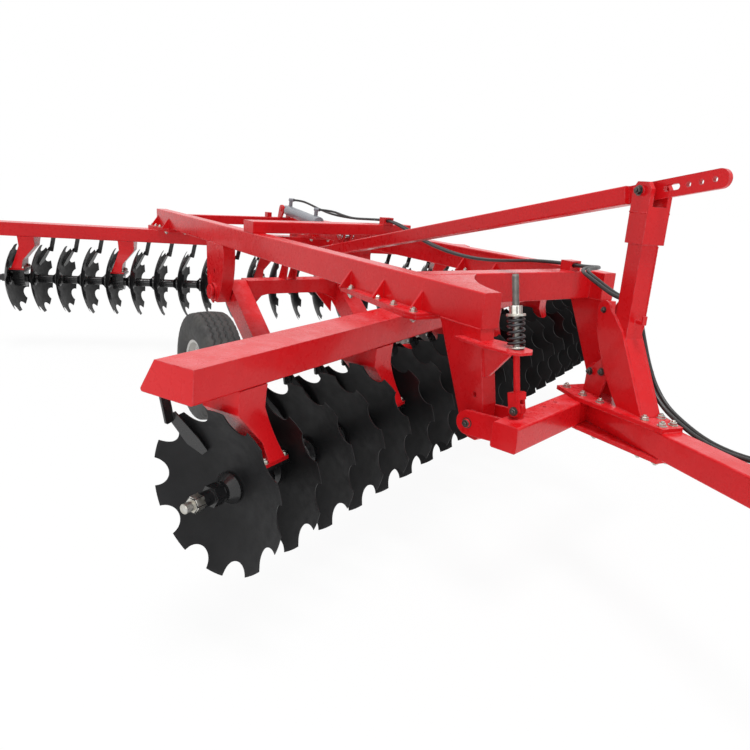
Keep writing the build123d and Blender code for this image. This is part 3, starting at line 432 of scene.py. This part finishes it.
floorMaterial = bpy.data.materials.new("floorWhite")
floorMaterial.use_nodes = True
floorShade = floorMaterial.node_tree.nodes["Principled BSDF"]
floorShade.inputs["Base Color"].default_value = studio["floorTint"]
floorShade.inputs["Roughness"].default_value = 0.9
floorOutput = floorMaterial.node_tree.nodes["Material Output"]
whiteOutside(floorMaterial.node_tree, floorOutput, floorShade, studio["floorWhite"])
bpy.ops.mesh.primitive_plane_add(size=studio["floorSize"], location=(0, 0, -0.001))
studioFloor = bpy.context.object
studioFloor.name = "studioFloor"
studioFloor.data.materials.append(floorMaterial)

addLight("key", "SUN", studio["key"])
addLight("side", "AREA", studio["side"])
print("stage: light and floor")


# mesh helpers
def addPrism(mesh, foot, axis, radius, height, sides, chamfer=0.0, turn=0.0):
    axis = axis.normalized()
    side = axis.orthogonal().normalized()
    across = axis.cross(side)
    loops = []
    for level, size in ((0, radius), (height - chamfer, radius), (height, radius - chamfer)):
        angles = [turn + 2 * pi * number / sides for number in range(sides)]
        middle = foot + axis * level
        loops.append([mesh.verts.new(middle + (side * cos(a) + across * sin(a)) * size) for a in angles])
    mesh.faces.new(reversed(loops[0]))
    for low, high in zip(loops, loops[1:]):
        for number in range(sides):
            after = (number + 1) % sides
            mesh.faces.new((low[number], low[after], high[after], high[number]))
    mesh.faces.new(loops[-1])


beadLooks = {"step": 0.007, "corners": 7, "least": 0.86, "ripple": 0.2}


def addBead(mesh, start, end, size, looks=beadLooks):
    run = end - start
    axis = run.normalized()
    side = axis.orthogonal().normalized()
    across = axis.cross(side)
    count = max(4, int(run.length / looks["step"]))
    corners = looks["corners"]
    before = None
    for number in range(count + 1):
        centre = start + axis * (run.length * number / count)
        radius = size * (looks["least"] + looks["ripple"] * ((number * 7) % 5) / 5)
        ring = [
            mesh.verts.new(centre + (side * cos(a) + across * sin(a)) * radius)
            for a in (2 * pi * corner / corners for corner in range(corners))
        ]
        if before:
            for corner in range(corners):
                after = (corner + 1) % corners
                mesh.faces.new((before[corner], before[after], ring[after], ring[corner]))
        else:
            mesh.faces.new(reversed(ring))
        before = ring
    mesh.faces.new(before)


def makeObject(mesh, name, material, smooth=False):
    data = bpy.data.meshes.new(name)
    mesh.to_mesh(data)
    mesh.free()
    for face in data.polygons:
        face.use_smooth = smooth
    data.materials.append(material)
    made = bpy.data.objects.new(name, data)
    scene.collection.objects.link(made)
    return made


# a bolt of size 1: its washer, its hex head and the end of its thread
boltShape = {
    "washer": (-0.05, 1.3, 0.21, 14, 0.0),
    "head": (0.16, 1.0, 0.72, 6, 0.1),
    "thread": (0.86, 0.52, 0.45, 8, 0.06),
}


def makeBoltShape(looks):
    mesh = bmesh.new()
    for level, radius, height, sides, chamfer in looks.values():
        addPrism(mesh, up * level, up, radius, height, sides, chamfer)
    return makeObject(mesh, "bolt_shape", zinc)


# the tree that sets a bolt on every point, square to the point's own way
def makeBoltTree():
    tree = bpy.data.node_groups.new("boltsOnPoints", "GeometryNodeTree")
    sockets = {}
    for label, kind in (
        ("Points", "NodeSocketGeometry"), ("Bolt", "NodeSocketObject"), ("Size", "NodeSocketFloat"),
        ("Seed", "NodeSocketInt"), ("Finish", "NodeSocketMaterial"),
    ):
        sockets[label] = tree.interface.new_socket(label, in_out="INPUT", socket_type=kind).identifier
    tree.interface.new_socket("Bolts", in_out="OUTPUT", socket_type="NodeSocketGeometry")
    given = tree.nodes.new("NodeGroupInput").outputs
    shape = tree.nodes.new("GeometryNodeObjectInfo")
    tree.links.new(given["Bolt"], shape.inputs["Object"])
    read = {}
    for label, kind in (("way", "FLOAT_VECTOR"), ("size", "FLOAT")):
        read[label] = tree.nodes.new("GeometryNodeInputNamedAttribute")
        read[label].data_type = kind
        read[label].inputs["Name"].default_value = label
    align = tree.nodes.new("FunctionNodeAlignRotationToVector")
    align.axis = "Z"
    tree.links.new(read["way"].outputs["Attribute"], align.inputs["Vector"])
    turn = tree.nodes.new("FunctionNodeRandomValue")
    turn.data_type = "FLOAT"
    turn.inputs[3].default_value = pi / 3
    tree.links.new(given["Seed"], turn.inputs["Seed"])
    spin = tree.nodes.new("FunctionNodeAxisAngleToRotation")
    spin.inputs["Axis"].default_value = (0, 0, 1)
    tree.links.new(turn.outputs[1], spin.inputs["Angle"])
    both = tree.nodes.new("FunctionNodeRotateRotation")
    both.rotation_space = "LOCAL"
    tree.links.new(align.outputs["Rotation"], both.inputs["Rotation"])
    tree.links.new(spin.outputs["Rotation"], both.inputs["Rotate By"])
    size = tree.nodes.new("ShaderNodeMath")
    size.operation = "MULTIPLY"
    tree.links.new(read["size"].outputs["Attribute"], size.inputs[0])
    tree.links.new(given["Size"], size.inputs[1])
    points = tree.nodes.new("GeometryNodeMeshToPoints")
    tree.links.new(given["Points"], points.inputs["Mesh"])
    put = tree.nodes.new("GeometryNodeInstanceOnPoints")
    tree.links.new(points.outputs["Points"], put.inputs["Points"])
    tree.links.new(shape.outputs["Geometry"], put.inputs["Instance"])
    tree.links.new(both.outputs["Rotation"], put.inputs["Rotation"])
    tree.links.new(size.outputs[0], put.inputs["Scale"])
    real = tree.nodes.new("GeometryNodeRealizeInstances")
    tree.links.new(put.outputs["Instances"], real.inputs["Geometry"])
    finish = tree.nodes.new("GeometryNodeSetMaterial")
    tree.links.new(real.outputs["Geometry"], finish.inputs["Geometry"])
    tree.links.new(given["Finish"], finish.inputs["Material"])
    tree.links.new(finish.outputs["Geometry"], tree.nodes.new("NodeGroupOutput").inputs["Bolts"])
    return tree, sockets


boltObject = makeBoltShape(boltShape)
boltTree, boltSockets = makeBoltTree()


# spots holds each bolt's foot, its way out and its size
def addBolts(name, body, spots, finish, seed):
    data = bpy.data.meshes.new(name + "_points")
    data.from_pydata([foot for foot, way, size in spots], [], [])
    ways = data.attributes.new("way", "FLOAT_VECTOR", "POINT")
    ways.data.foreach_set("vector", [value for foot, way, size in spots for value in way.normalized()])
    sizes = data.attributes.new("size", "FLOAT", "POINT")
    sizes.data.foreach_set("value", [size for foot, way, size in spots])
    made = bpy.data.objects.new(name, data)
    scene.collection.objects.link(made)
    nodes = made.modifiers.new("bolts", "NODES")
    nodes.node_group = boltTree
    for label, value in (("Bolt", boltObject), ("Size", 1.0), ("Seed", seed), ("Finish", finish)):
        nodes[boltSockets[label]] = value
    plain = bpy.data.meshes.new_from_object(made.evaluated_get(bpy.context.evaluated_depsgraph_get()))
    made.modifiers.remove(nodes)
    made.data = plain
    plain.name = name
    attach(made, body)


frameBolts = {
    "flanges": {
        "front_right": (-0.788, 0.05, 0.412, 1), "front_left": (-1.35, 1.35, 0.412, 1),
        "rear_right": (-4.77, 0.05, 0.225, -1), "rear_left": (-4.215, 1.35, 0.215, -1),
    },
    "places": ((-0.86, 0.104), (-0.42, 0.098), (0.0, 0.084), (0.72, 0.068)),
    "top": 0.9,
    "bottom": 0.87,
    "size": 0.017,
    "seed": 3,
}


def addFrameBolts(looks):
    spots = []
    for middleX, middleY, half, lean in looks["flanges"].values():
        for along, aside in looks["places"]:
            for way in (-1, 1):
                x = middleX + way * along * half * lean
                y = middleY + way * aside
                spots.append((place(x, y, looks["top"]), up, looks["size"]))
                if abs(along) > 0.5:  # the inner ones end in the beam
                    spots.append((place(x, y, looks["bottom"]), -up, looks["size"]))
    addBolts("flange_bolts", "frame", spots, zinc, looks["seed"])


addFrameBolts(frameBolts)

hangerBolts = {
    "gaps": (0, 4, 8, 10, 14, 18),
    "pitch": 0.23,
    "footMiddle": 0.118,
    "corners": ((-0.056, -0.112), (0.056, -0.112), (-0.056, 0.086), (0.056, 0.086)),
    "footTop": 0.112,
    "size": 0.014,
    "seed": 7,
}
scraperBolts = {
    "count": 20,
    "places": ((-0.166, 0.1985, 0.447), (-0.158, 0.1985, 0.412), (-0.125, 0.1985, 0.262)),
    "size": 0.011,
}


def addGangBolts(hangers, scrapers):
    spots = []
    for name, gang in gangs.items():
        for gap in hangers["gaps"]:
            for aside, behind in hangers["corners"]:
                along = gap * hangers["pitch"] + hangers["footMiddle"] + aside
                spots.append((onGang(name, along, behind, hangers["footTop"]), up, hangers["size"]))
        for number in range(scrapers["count"]):
            for along, behind, height in scrapers["places"]:
                foot = onGang(name, number * hangers["pitch"] + along, behind, height)
                spots.append((foot, gang["behind"], scrapers["size"]))
    addBolts("gang_bolts", "frame", spots, zinc, hangers["seed"])


addGangBolts(hangerBolts, scraperBolts)
print("stage: frame bolts")

# bright nuts over the shafts' outer ends
shaftEnds = {"front_right_gang": "front", "rear_left_gang": "rear"}
# foot along the shaft, radius, height, sides, chamfer and turn
shaftNut = {"nut": (-0.157, 0.0335, 0.0435, 6, 0.005, 0.2), "end": (-0.2, 0.0192, 0.0395, 20, 0.003, 0.0)}


def addShaftNut(body, gangName, looks):
    mesh = bmesh.new()
    outward = -gangs[gangName]["along"]
    for foot, *shape in looks.values():
        addPrism(mesh, onGang(gangName, foot, 0, 0), outward, *shape)
    made = makeObject(mesh, gangName + "_end_nut", zinc)
    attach(made, body)


for bodyName, gangName in shaftEnds.items():
    addShaftNut(bodyName, gangName, shaftNut)

hitchBolts = {
    "plateTop": 0.576,
    "plateBottom": 0.42,
    "places": ((-0.045, 0.098), (0.085, 0.1), (0.2, 0.092), (0.442, 0.046), (0.53, 0.03)),
    "size": 0.0165,
    "seed": 5,
}


def addHitchBolts(looks):
    spots = []
    for along, aside in looks["places"]:
        for left in (aside, -aside):
            spots.append((onDrawbar(along, left, looks["plateTop"]), up, looks["size"]))
            spots.append((onDrawbar(along, left, looks["plateBottom"]), -up, looks["size"]))
    addBolts("hitch_bolts", "hitch", spots, zinc, looks["seed"])


addHitchBolts(hitchBolts)

hitchPins = {
    "mast": (
        (0.131, 0.702, 0.051, 0.015), (0.05, 0.683, 0.051, 0.015), (0.205, 1.53, 0.0725, 0.0175),
        (0.087, 0.99, 0.057, 0.012),
    ),
    "hinges": (0.04, 1.36),
    "hingeReach": 0.091,
    "hingeHeight": 0.484,
    "hingeSize": 0.019,
    "seed": 11,
}


def addHitchPins(looks):
    spots = []
    for way in (-1, 1):
        for along, height, reach, size in looks["mast"]:
            spots.append((onDrawbar(along, way * reach, height), drawbarLeft * way, size))
        for y in looks["hinges"]:
            middle = place((looks["hinges"][0] - y) * tan(hitchSkew), y, looks["hingeHeight"])
            foot = middle + hingeLine * way * looks["hingeReach"]
            spots.append((foot, hingeLine * way, looks["hingeSize"]))
    addBolts("hitch_pins", "hitch", spots, pinSteel, looks["seed"])


addHitchPins(hitchPins)
print("stage: hitch bolts")

# the spring, its nut and washers, and the rod's thread and pin
springLooks = {
    "foot": (0.21, 0.065, 0.59),
    "head": (0.1, 0.065, 1.16),
    "rings": ((0.4035, 0.0415, 0.0095, 28), (0.4125, 0.0275, 0.0345, 6), (0.266, 0.036, 0.007, 28)),
    "thread": {"start": 0.45, "end": 0.575, "pitch": 0.0045, "radius": 0.0152},
    "coil": {
        "start": 0.28, "height": 0.117, "radius": 0.0325, "wire": 0.0065, "turns": 5.5, "closing": 0.06,
        "samples": 168,
    },
    "pin": {"reach": 0.0305, "size": 0.0155, "seed": 2},
}


def addTube(mesh, points, radius, corners):
    before = None
    for number, point in enumerate(points):
        ahead = points[min(number + 1, len(points) - 1)] - points[max(number - 1, 0)]
        side = ahead.cross(up).normalized()
        lift = side.cross(ahead).normalized()
        ring = [
            mesh.verts.new(point + (side * cos(a) + lift * sin(a)) * radius)
            for a in (2 * pi * corner / corners for corner in range(corners))
        ]
        if before:
            for corner in range(corners):
                after = (corner + 1) % corners
                mesh.faces.new((before[corner], before[after], ring[after], ring[corner]))
        else:
            mesh.faces.new(reversed(ring))
        before = ring
    mesh.faces.new(before)
    bmesh.ops.recalc_face_normals(mesh, faces=mesh.faces)


def addSpring(looks):
    foot = place(*looks["foot"])
    axis = (place(*looks["head"]) - foot).normalized()
    mesh = bmesh.new()
    for level, radius, height, sides in looks["rings"]:
        addPrism(mesh, foot + axis * level, axis, radius, height, sides, 0.0012)
    nut = makeObject(mesh, "spring_nut", zinc)
    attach(nut, "spring_rod")
    thread = looks["thread"]
    pitch = thread["pitch"]
    mesh = bmesh.new()
    for number in range(int((thread["end"] - thread["start"]) / pitch)):
        level = thread["start"] + number * pitch
        addPrism(mesh, foot + axis * level, axis, thread["radius"], pitch * 0.6, 20, 0.001)
    made = makeObject(mesh, "spring_rod_thread", pinSteel)
    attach(made, "spring_rod")
    pin = looks["pin"]
    spots = [(foot + hingeLine * way * pin["reach"], hingeLine * way, pin["size"]) for way in (-1, 1)]
    addBolts("spring_rod_pin", "spring_rod", spots, pinSteel, pin["seed"])
    coil = looks["coil"]
    side = axis.orthogonal().normalized()
    across = axis.cross(side)
    points = []
    for number in range(coil["samples"] + 1):
        share = number / coil["samples"]
        level = coil["start"] + coil["height"] * (share - coil["closing"] * sin(2 * pi * share))
        angle = 2 * pi * coil["turns"] * share
        points.append(foot + axis * level + (side * cos(angle) + across * sin(angle)) * coil["radius"])
    mesh = bmesh.new()
    addTube(mesh, points, coil["wire"], 12)
    made = makeObject(mesh, "spring_coil", springSteel, True)
    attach(made, "spring_rod")
    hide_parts("spring")


addSpring(springLooks)

# tyres with zigzag ribs round the tread
tyreLooks = {
    "profile": (
        (0.106, 0.196), (0.118, 0.204), (0.134, 0.236), (0.147, 0.28), (0.146, 0.322), (0.137, 0.362),
        (0.127, 0.388), (0.117, 0.3965),
    ),
    "treadHalf": 0.112,
    "treadSamples": 64,
    "treadRadius": 0.3995,
    "crown": 0.0095,
    "grooves": (-0.074, -0.025, 0.025, 0.074),
    "grooveHalf": 0.0075,
    "grooveDepth": 0.011,
    "grooveSlope": 0.003,
    "shoulder": {"above": 0.37, "share": 0.3, "depth": 0.005},
    "zigzags": 44,
    "swing": 0.0065,
    "around": 352,
    "wheels": {"right": (-0.28, 1), "left": (1.68, -1)},
}


# a smooth line through a tyre's profile points
def smoothRun(points, steps):
    made = []
    for number in range(len(points) - 1):
        before = points[max(number - 1, 0)]
        start, end = points[number], points[number + 1]
        after = points[min(number + 2, len(points) - 1)]
        for step in range(steps):
            t = step / steps
            made.append(tuple(
                0.5 * (2 * b + (c - a) * t + (2 * a - 5 * b + 4 * c - d) * t**2 + (3 * b - a - 3 * c + d) * t**3)
                for a, b, c, d in zip(before, start, end, after)
            ))
    return made + [points[-1]]


def addTyre(name, wheelY, side, looks):
    wall = smoothRun(looks["profile"], 3)
    half = looks["treadHalf"]
    tread = [half - 2 * half * number / looks["treadSamples"] for number in range(looks["treadSamples"] + 1)]
    sections = [(x, r, False) for x, r in wall] + [(x, looks["treadRadius"], True) for x in tread]
    sections += [(-x, r, False) for x, r in reversed(wall)]
    shoulder = looks["shoulder"]
    mesh = bmesh.new()
    rings = []
    for number in range(looks["around"]):
        angle = 2 * pi * number / looks["around"]
        phase = number * looks["zigzags"] / looks["around"] % 1.0
        swing = looks["swing"] * (4 * abs(phase - 0.5) - 1)
        ring = []
        for x, radius, onTread in sections:
            if onTread:
                radius += looks["crown"] * (1 - (x / half) ** 2)
                gap = min(abs(x - groove - swing) for groove in looks["grooves"])
                share = max(0.0, min(1.0, (looks["grooveHalf"] - gap) / looks["grooveSlope"]))
                radius -= looks["grooveDepth"] * share
            elif radius > shoulder["above"] and phase < shoulder["share"]:
                radius -= shoulder["depth"]
            forward = axle["x"] + radius * sin(angle)
            height = axle["height"] + radius * cos(angle)
            ring.append(mesh.verts.new(place(forward, wheelY + x * side, height)))
        rings.append(ring)
    count = len(sections)
    for number, ring in enumerate(rings):
        after = rings[(number + 1) % looks["around"]]
        for spot in range(count):
            following = (spot + 1) % count
            mesh.faces.new((ring[spot], after[spot], after[following], ring[following]))
    bmesh.ops.recalc_face_normals(mesh, faces=mesh.faces)
    made = makeObject(mesh, name + "_tyre_tread", tyreRubber, True)
    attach(made, name + "_wheel")
    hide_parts(name + "_tyre")


for wheelName, (wheelY, wheelSide) in tyreLooks["wheels"].items():
    addTyre(wheelName, wheelY, wheelSide, tyreLooks)

wheelNuts = {"count": 6, "radius": 0.076, "size": 0.014, "face": 0.004, "turn": 0.25, "seed": 13}


def addWheelNuts(name, wheelY, side, looks):
    outward = Vector((0, -side, 0))
    spots = []
    for number in range(looks["count"]):
        angle = 2 * pi * number / looks["count"] + looks["turn"]
        x = axle["x"] + looks["radius"] * cos(angle)
        z = axle["height"] + looks["radius"] * sin(angle)
        spots.append((place(x, wheelY, z) + outward * looks["face"], outward, looks["size"]))
    addBolts(name + "_wheel_nuts", name + "_wheel", spots, zinc, looks["seed"])


for wheelName, (wheelY, wheelSide) in tyreLooks["wheels"].items():
    addWheelNuts(wheelName, wheelY, wheelSide, wheelNuts)
bpy.data.objects.remove(boltObject)
print("stage: wheels")

# weld beads where plates meet the beams
frameWelds = {
    "lines": (
        ((-1.18, 0.0, 0.9), (-0.4, 0.0, 0.9)), ((-1.18, 0.1, 0.9), (-0.4, 0.1, 0.9)),
        ((-0.295, 0.002, 0.9), (-0.006, 0.002, 0.9)), ((-0.295, 0.078, 0.9), (-0.006, 0.078, 0.9)),
        ((-0.522, 0.1, 0.905), (-0.522, 0.1, 1.055)), ((-0.642, 0.1, 0.905), (-0.642, 0.1, 1.055)),
        ((-0.642, 1.3, 0.905), (-0.642, 1.3, 1.055)), ((-0.522, 1.3, 0.905), (-0.522, 1.3, 1.055)),
        ((-3.52, 0.0, 0.9), (-3.13, 0.0, 0.9)), ((-3.52, 1.4, 0.9), (-3.13, 1.4, 0.9)),
        ((-1.74, 1.3, 0.9), (-0.96, 1.3, 0.9)), ((-2.709, 0.1, 1.062), (-2.529, 0.1, 1.062)),
    ),
    "size": 0.0045,
}
mastWelds = {
    "lines": (
        ((0.27, 0.056, 0.576), (0.43, 0.056, 0.576)), ((0.27, -0.056, 0.576), (0.43, -0.056, 0.576)),
        ((-0.08, 0.0575, 0.556), (-0.08, -0.0575, 0.556)), ((0.566, -0.05, 0.557), (0.566, 0.05, 0.557)),
        ((0.153, 0.06, 1.44), (0.263, 0.06, 1.44)), ((0.153, -0.06, 1.44), (0.263, -0.06, 1.44)),
        ((0.158, 0.044, 0.93), (0.158, 0.044, 1.3)), ((0.246, 0.044, 0.93), (0.246, 0.044, 1.3)),
    ),
    "size": 0.004,
}


def addWelds(name, body, spot, looks):
    mesh = bmesh.new()
    for start, end in looks["lines"]:
        addBead(mesh, spot(*start), spot(*end), looks["size"])
    made = makeObject(mesh, name, redPaint, True)
    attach(made, body)


addWelds("frame_welds", "frame", place, frameWelds)
addWelds("mast_welds", "hitch", onDrawbar, mastWelds)
print("stage: welds")

# hoses: the same routes as the CAD tubes, as smooth splines
hoseLooks = {"radius": 0.01, "middle": 1.174, "cut": 0.07, "mastSide": 0.095}
portLooks = {"height": 0.112, "reach": 0.0343, "straight": 0.084}
across = Vector((sin(hitchSkew), -cos(hitchSkew), 0))
lugPlace = place(-4.25, 1.08, 1.14)
ramLine = (place(-3.05, 1.08, 1.02) - lugPlace).normalized()
ramUp = Vector((-ramLine.z, 0, ramLine.x))
portOut = Vector((cos(radians(30)), sin(radians(30)), 0))
hoseRoutes = {
    "right_hose": {
        "port": 0.64, "offset": -0.014,
        "start": ((-3.38, 1.156, 1.183), (-3.24, 1.159, 1.165)),
    },
    "left_hose": {
        "port": 0.1, "offset": 0.014,
        "start": ((-3.93, 1.168, 1.222), (-3.74, 1.192, 1.182), (-3.515, 1.184, 1.158), (-3.28, 1.187, 1.15)),
    },
}
rearSag = (
    (-3.06, 1.153), (-2.84, 1.166), (-2.63, 1.178), (-2.48, 1.177), (-2.32, 1.15), (-2.08, 1.084),
    (-1.84, 1.04), (-1.59, 1.019), (-1.34, 1.021), (-1.11, 1.045), (-0.89, 1.078), (-0.65, 1.094),
    (-0.5, 1.095),
)
crossing = (
    (-0.415, 1.162, 1.104, 0.28, 0.96), (-0.345, 1.116, 1.113, 0.68, 0.73),
    (-0.2865, 1.0388, 1.119, cos(hitchSkew), sin(hitchSkew)),
    (-0.188, 0.85, 1.108, 0.56, 0.83), (-0.118, 0.822, 1.092, 0.28, 0.96),
)
drawbarRun = (
    (-0.115, 0, 1.062), (-0.02, 0, 1.036), (0.08, 0, 1.03), (0.15, 0, 0.962), (0.196, 0, 0.868),
    (0.254, 0, 0.762), (0.318, 0, 0.678), (0.404, 0, 0.612), (0.51, 0, 0.574), (0.64, 0, 0.544),
    (0.77, 0, 0.541), (0.893, 0.001, 0.556), (1.0, -0.005, 0.58),
)
topRun = (
    (1.11, 0.059, 0.592), (1.23, 0.022, 0.588), (1.34, 0.004, 0.578), (1.45, 0, 0.571), (1.57, 0.001, 0.57),
)
coupler = {"start": 1.6797, "height": 0.5694, "shift": 0.001}


def routesOf(route):
    side = hoseLooks["middle"] + route["offset"]
    aside = route["offset"]
    first = lugPlace + ramLine * route["port"] + ramUp * portLooks["height"] + portOut * portLooks["reach"]
    rear = [first, first + portOut * portLooks["straight"]] + [place(*spot) for spot in route["start"]]
    rear += [place(x, side, z) for x, z in rearSag]
    rear += [place(x + aside * turnX, y + aside * turnY, z) for x, y, z, turnX, turnY in crossing[:3]]
    last = rear[-1]
    rear.append(last + across * hoseLooks["cut"])
    front = [last + across * hoseLooks["cut"], last + across * 2 * hoseLooks["cut"]]
    front += [place(x + aside * turnX, y + aside * turnY, z) for x, y, z, turnX, turnY in crossing[3:]]
    mastSide = hoseLooks["mastSide"] + aside
    front += [onDrawbar(along, mastSide + shift, height) for along, shift, height in drawbarRun]
    front += [onDrawbar(along, aside + shift, height) for along, shift, height in topRun]
    front.append(onDrawbar(coupler["start"], aside + coupler["shift"], coupler["height"]))
    return rear, front


def splineMesh(name, points, radius):
    data = bpy.data.curves.new(name, "CURVE")
    data.dimensions = "3D"
    spline = data.splines.new("NURBS")
    spline.points.add(len(points) - 1)
    for target, point in zip(spline.points, points):
        target.co = (*point, 1)
    spline.order_u = 3
    spline.use_endpoint_u = True
    spline.resolution_u = 10
    data.bevel_depth = radius
    data.bevel_resolution = 4
    data.use_fill_caps = radius > 0
    holder = bpy.data.objects.new(name, data)
    scene.collection.objects.link(holder)
    mesh = bpy.data.meshes.new_from_object(holder.evaluated_get(bpy.context.evaluated_depsgraph_get()))
    bpy.data.objects.remove(holder)
    return mesh


# a smooth rubber tube along the points, in place of the CAD tube
def addHose(name, points):
    line = [vertex.co.copy() for vertex in splineMesh(name + "_line", points, 0).vertices]
    data = splineMesh(name + "_tube", points, hoseLooks["radius"])
    for face in data.polygons:
        face.use_smooth = True
    data.materials.clear()
    data.materials.append(hoseRubber)
    made = bpy.data.objects.new(name + "_tube", data)
    scene.collection.objects.link(made)
    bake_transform(made)
    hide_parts(name)


for hoseName, route in hoseRoutes.items():
    rear, front = routesOf(route)
    addHose(hoseName + "_rear", rear)
    addHose(hoseName + "_front", front)
print("stage: hoses")
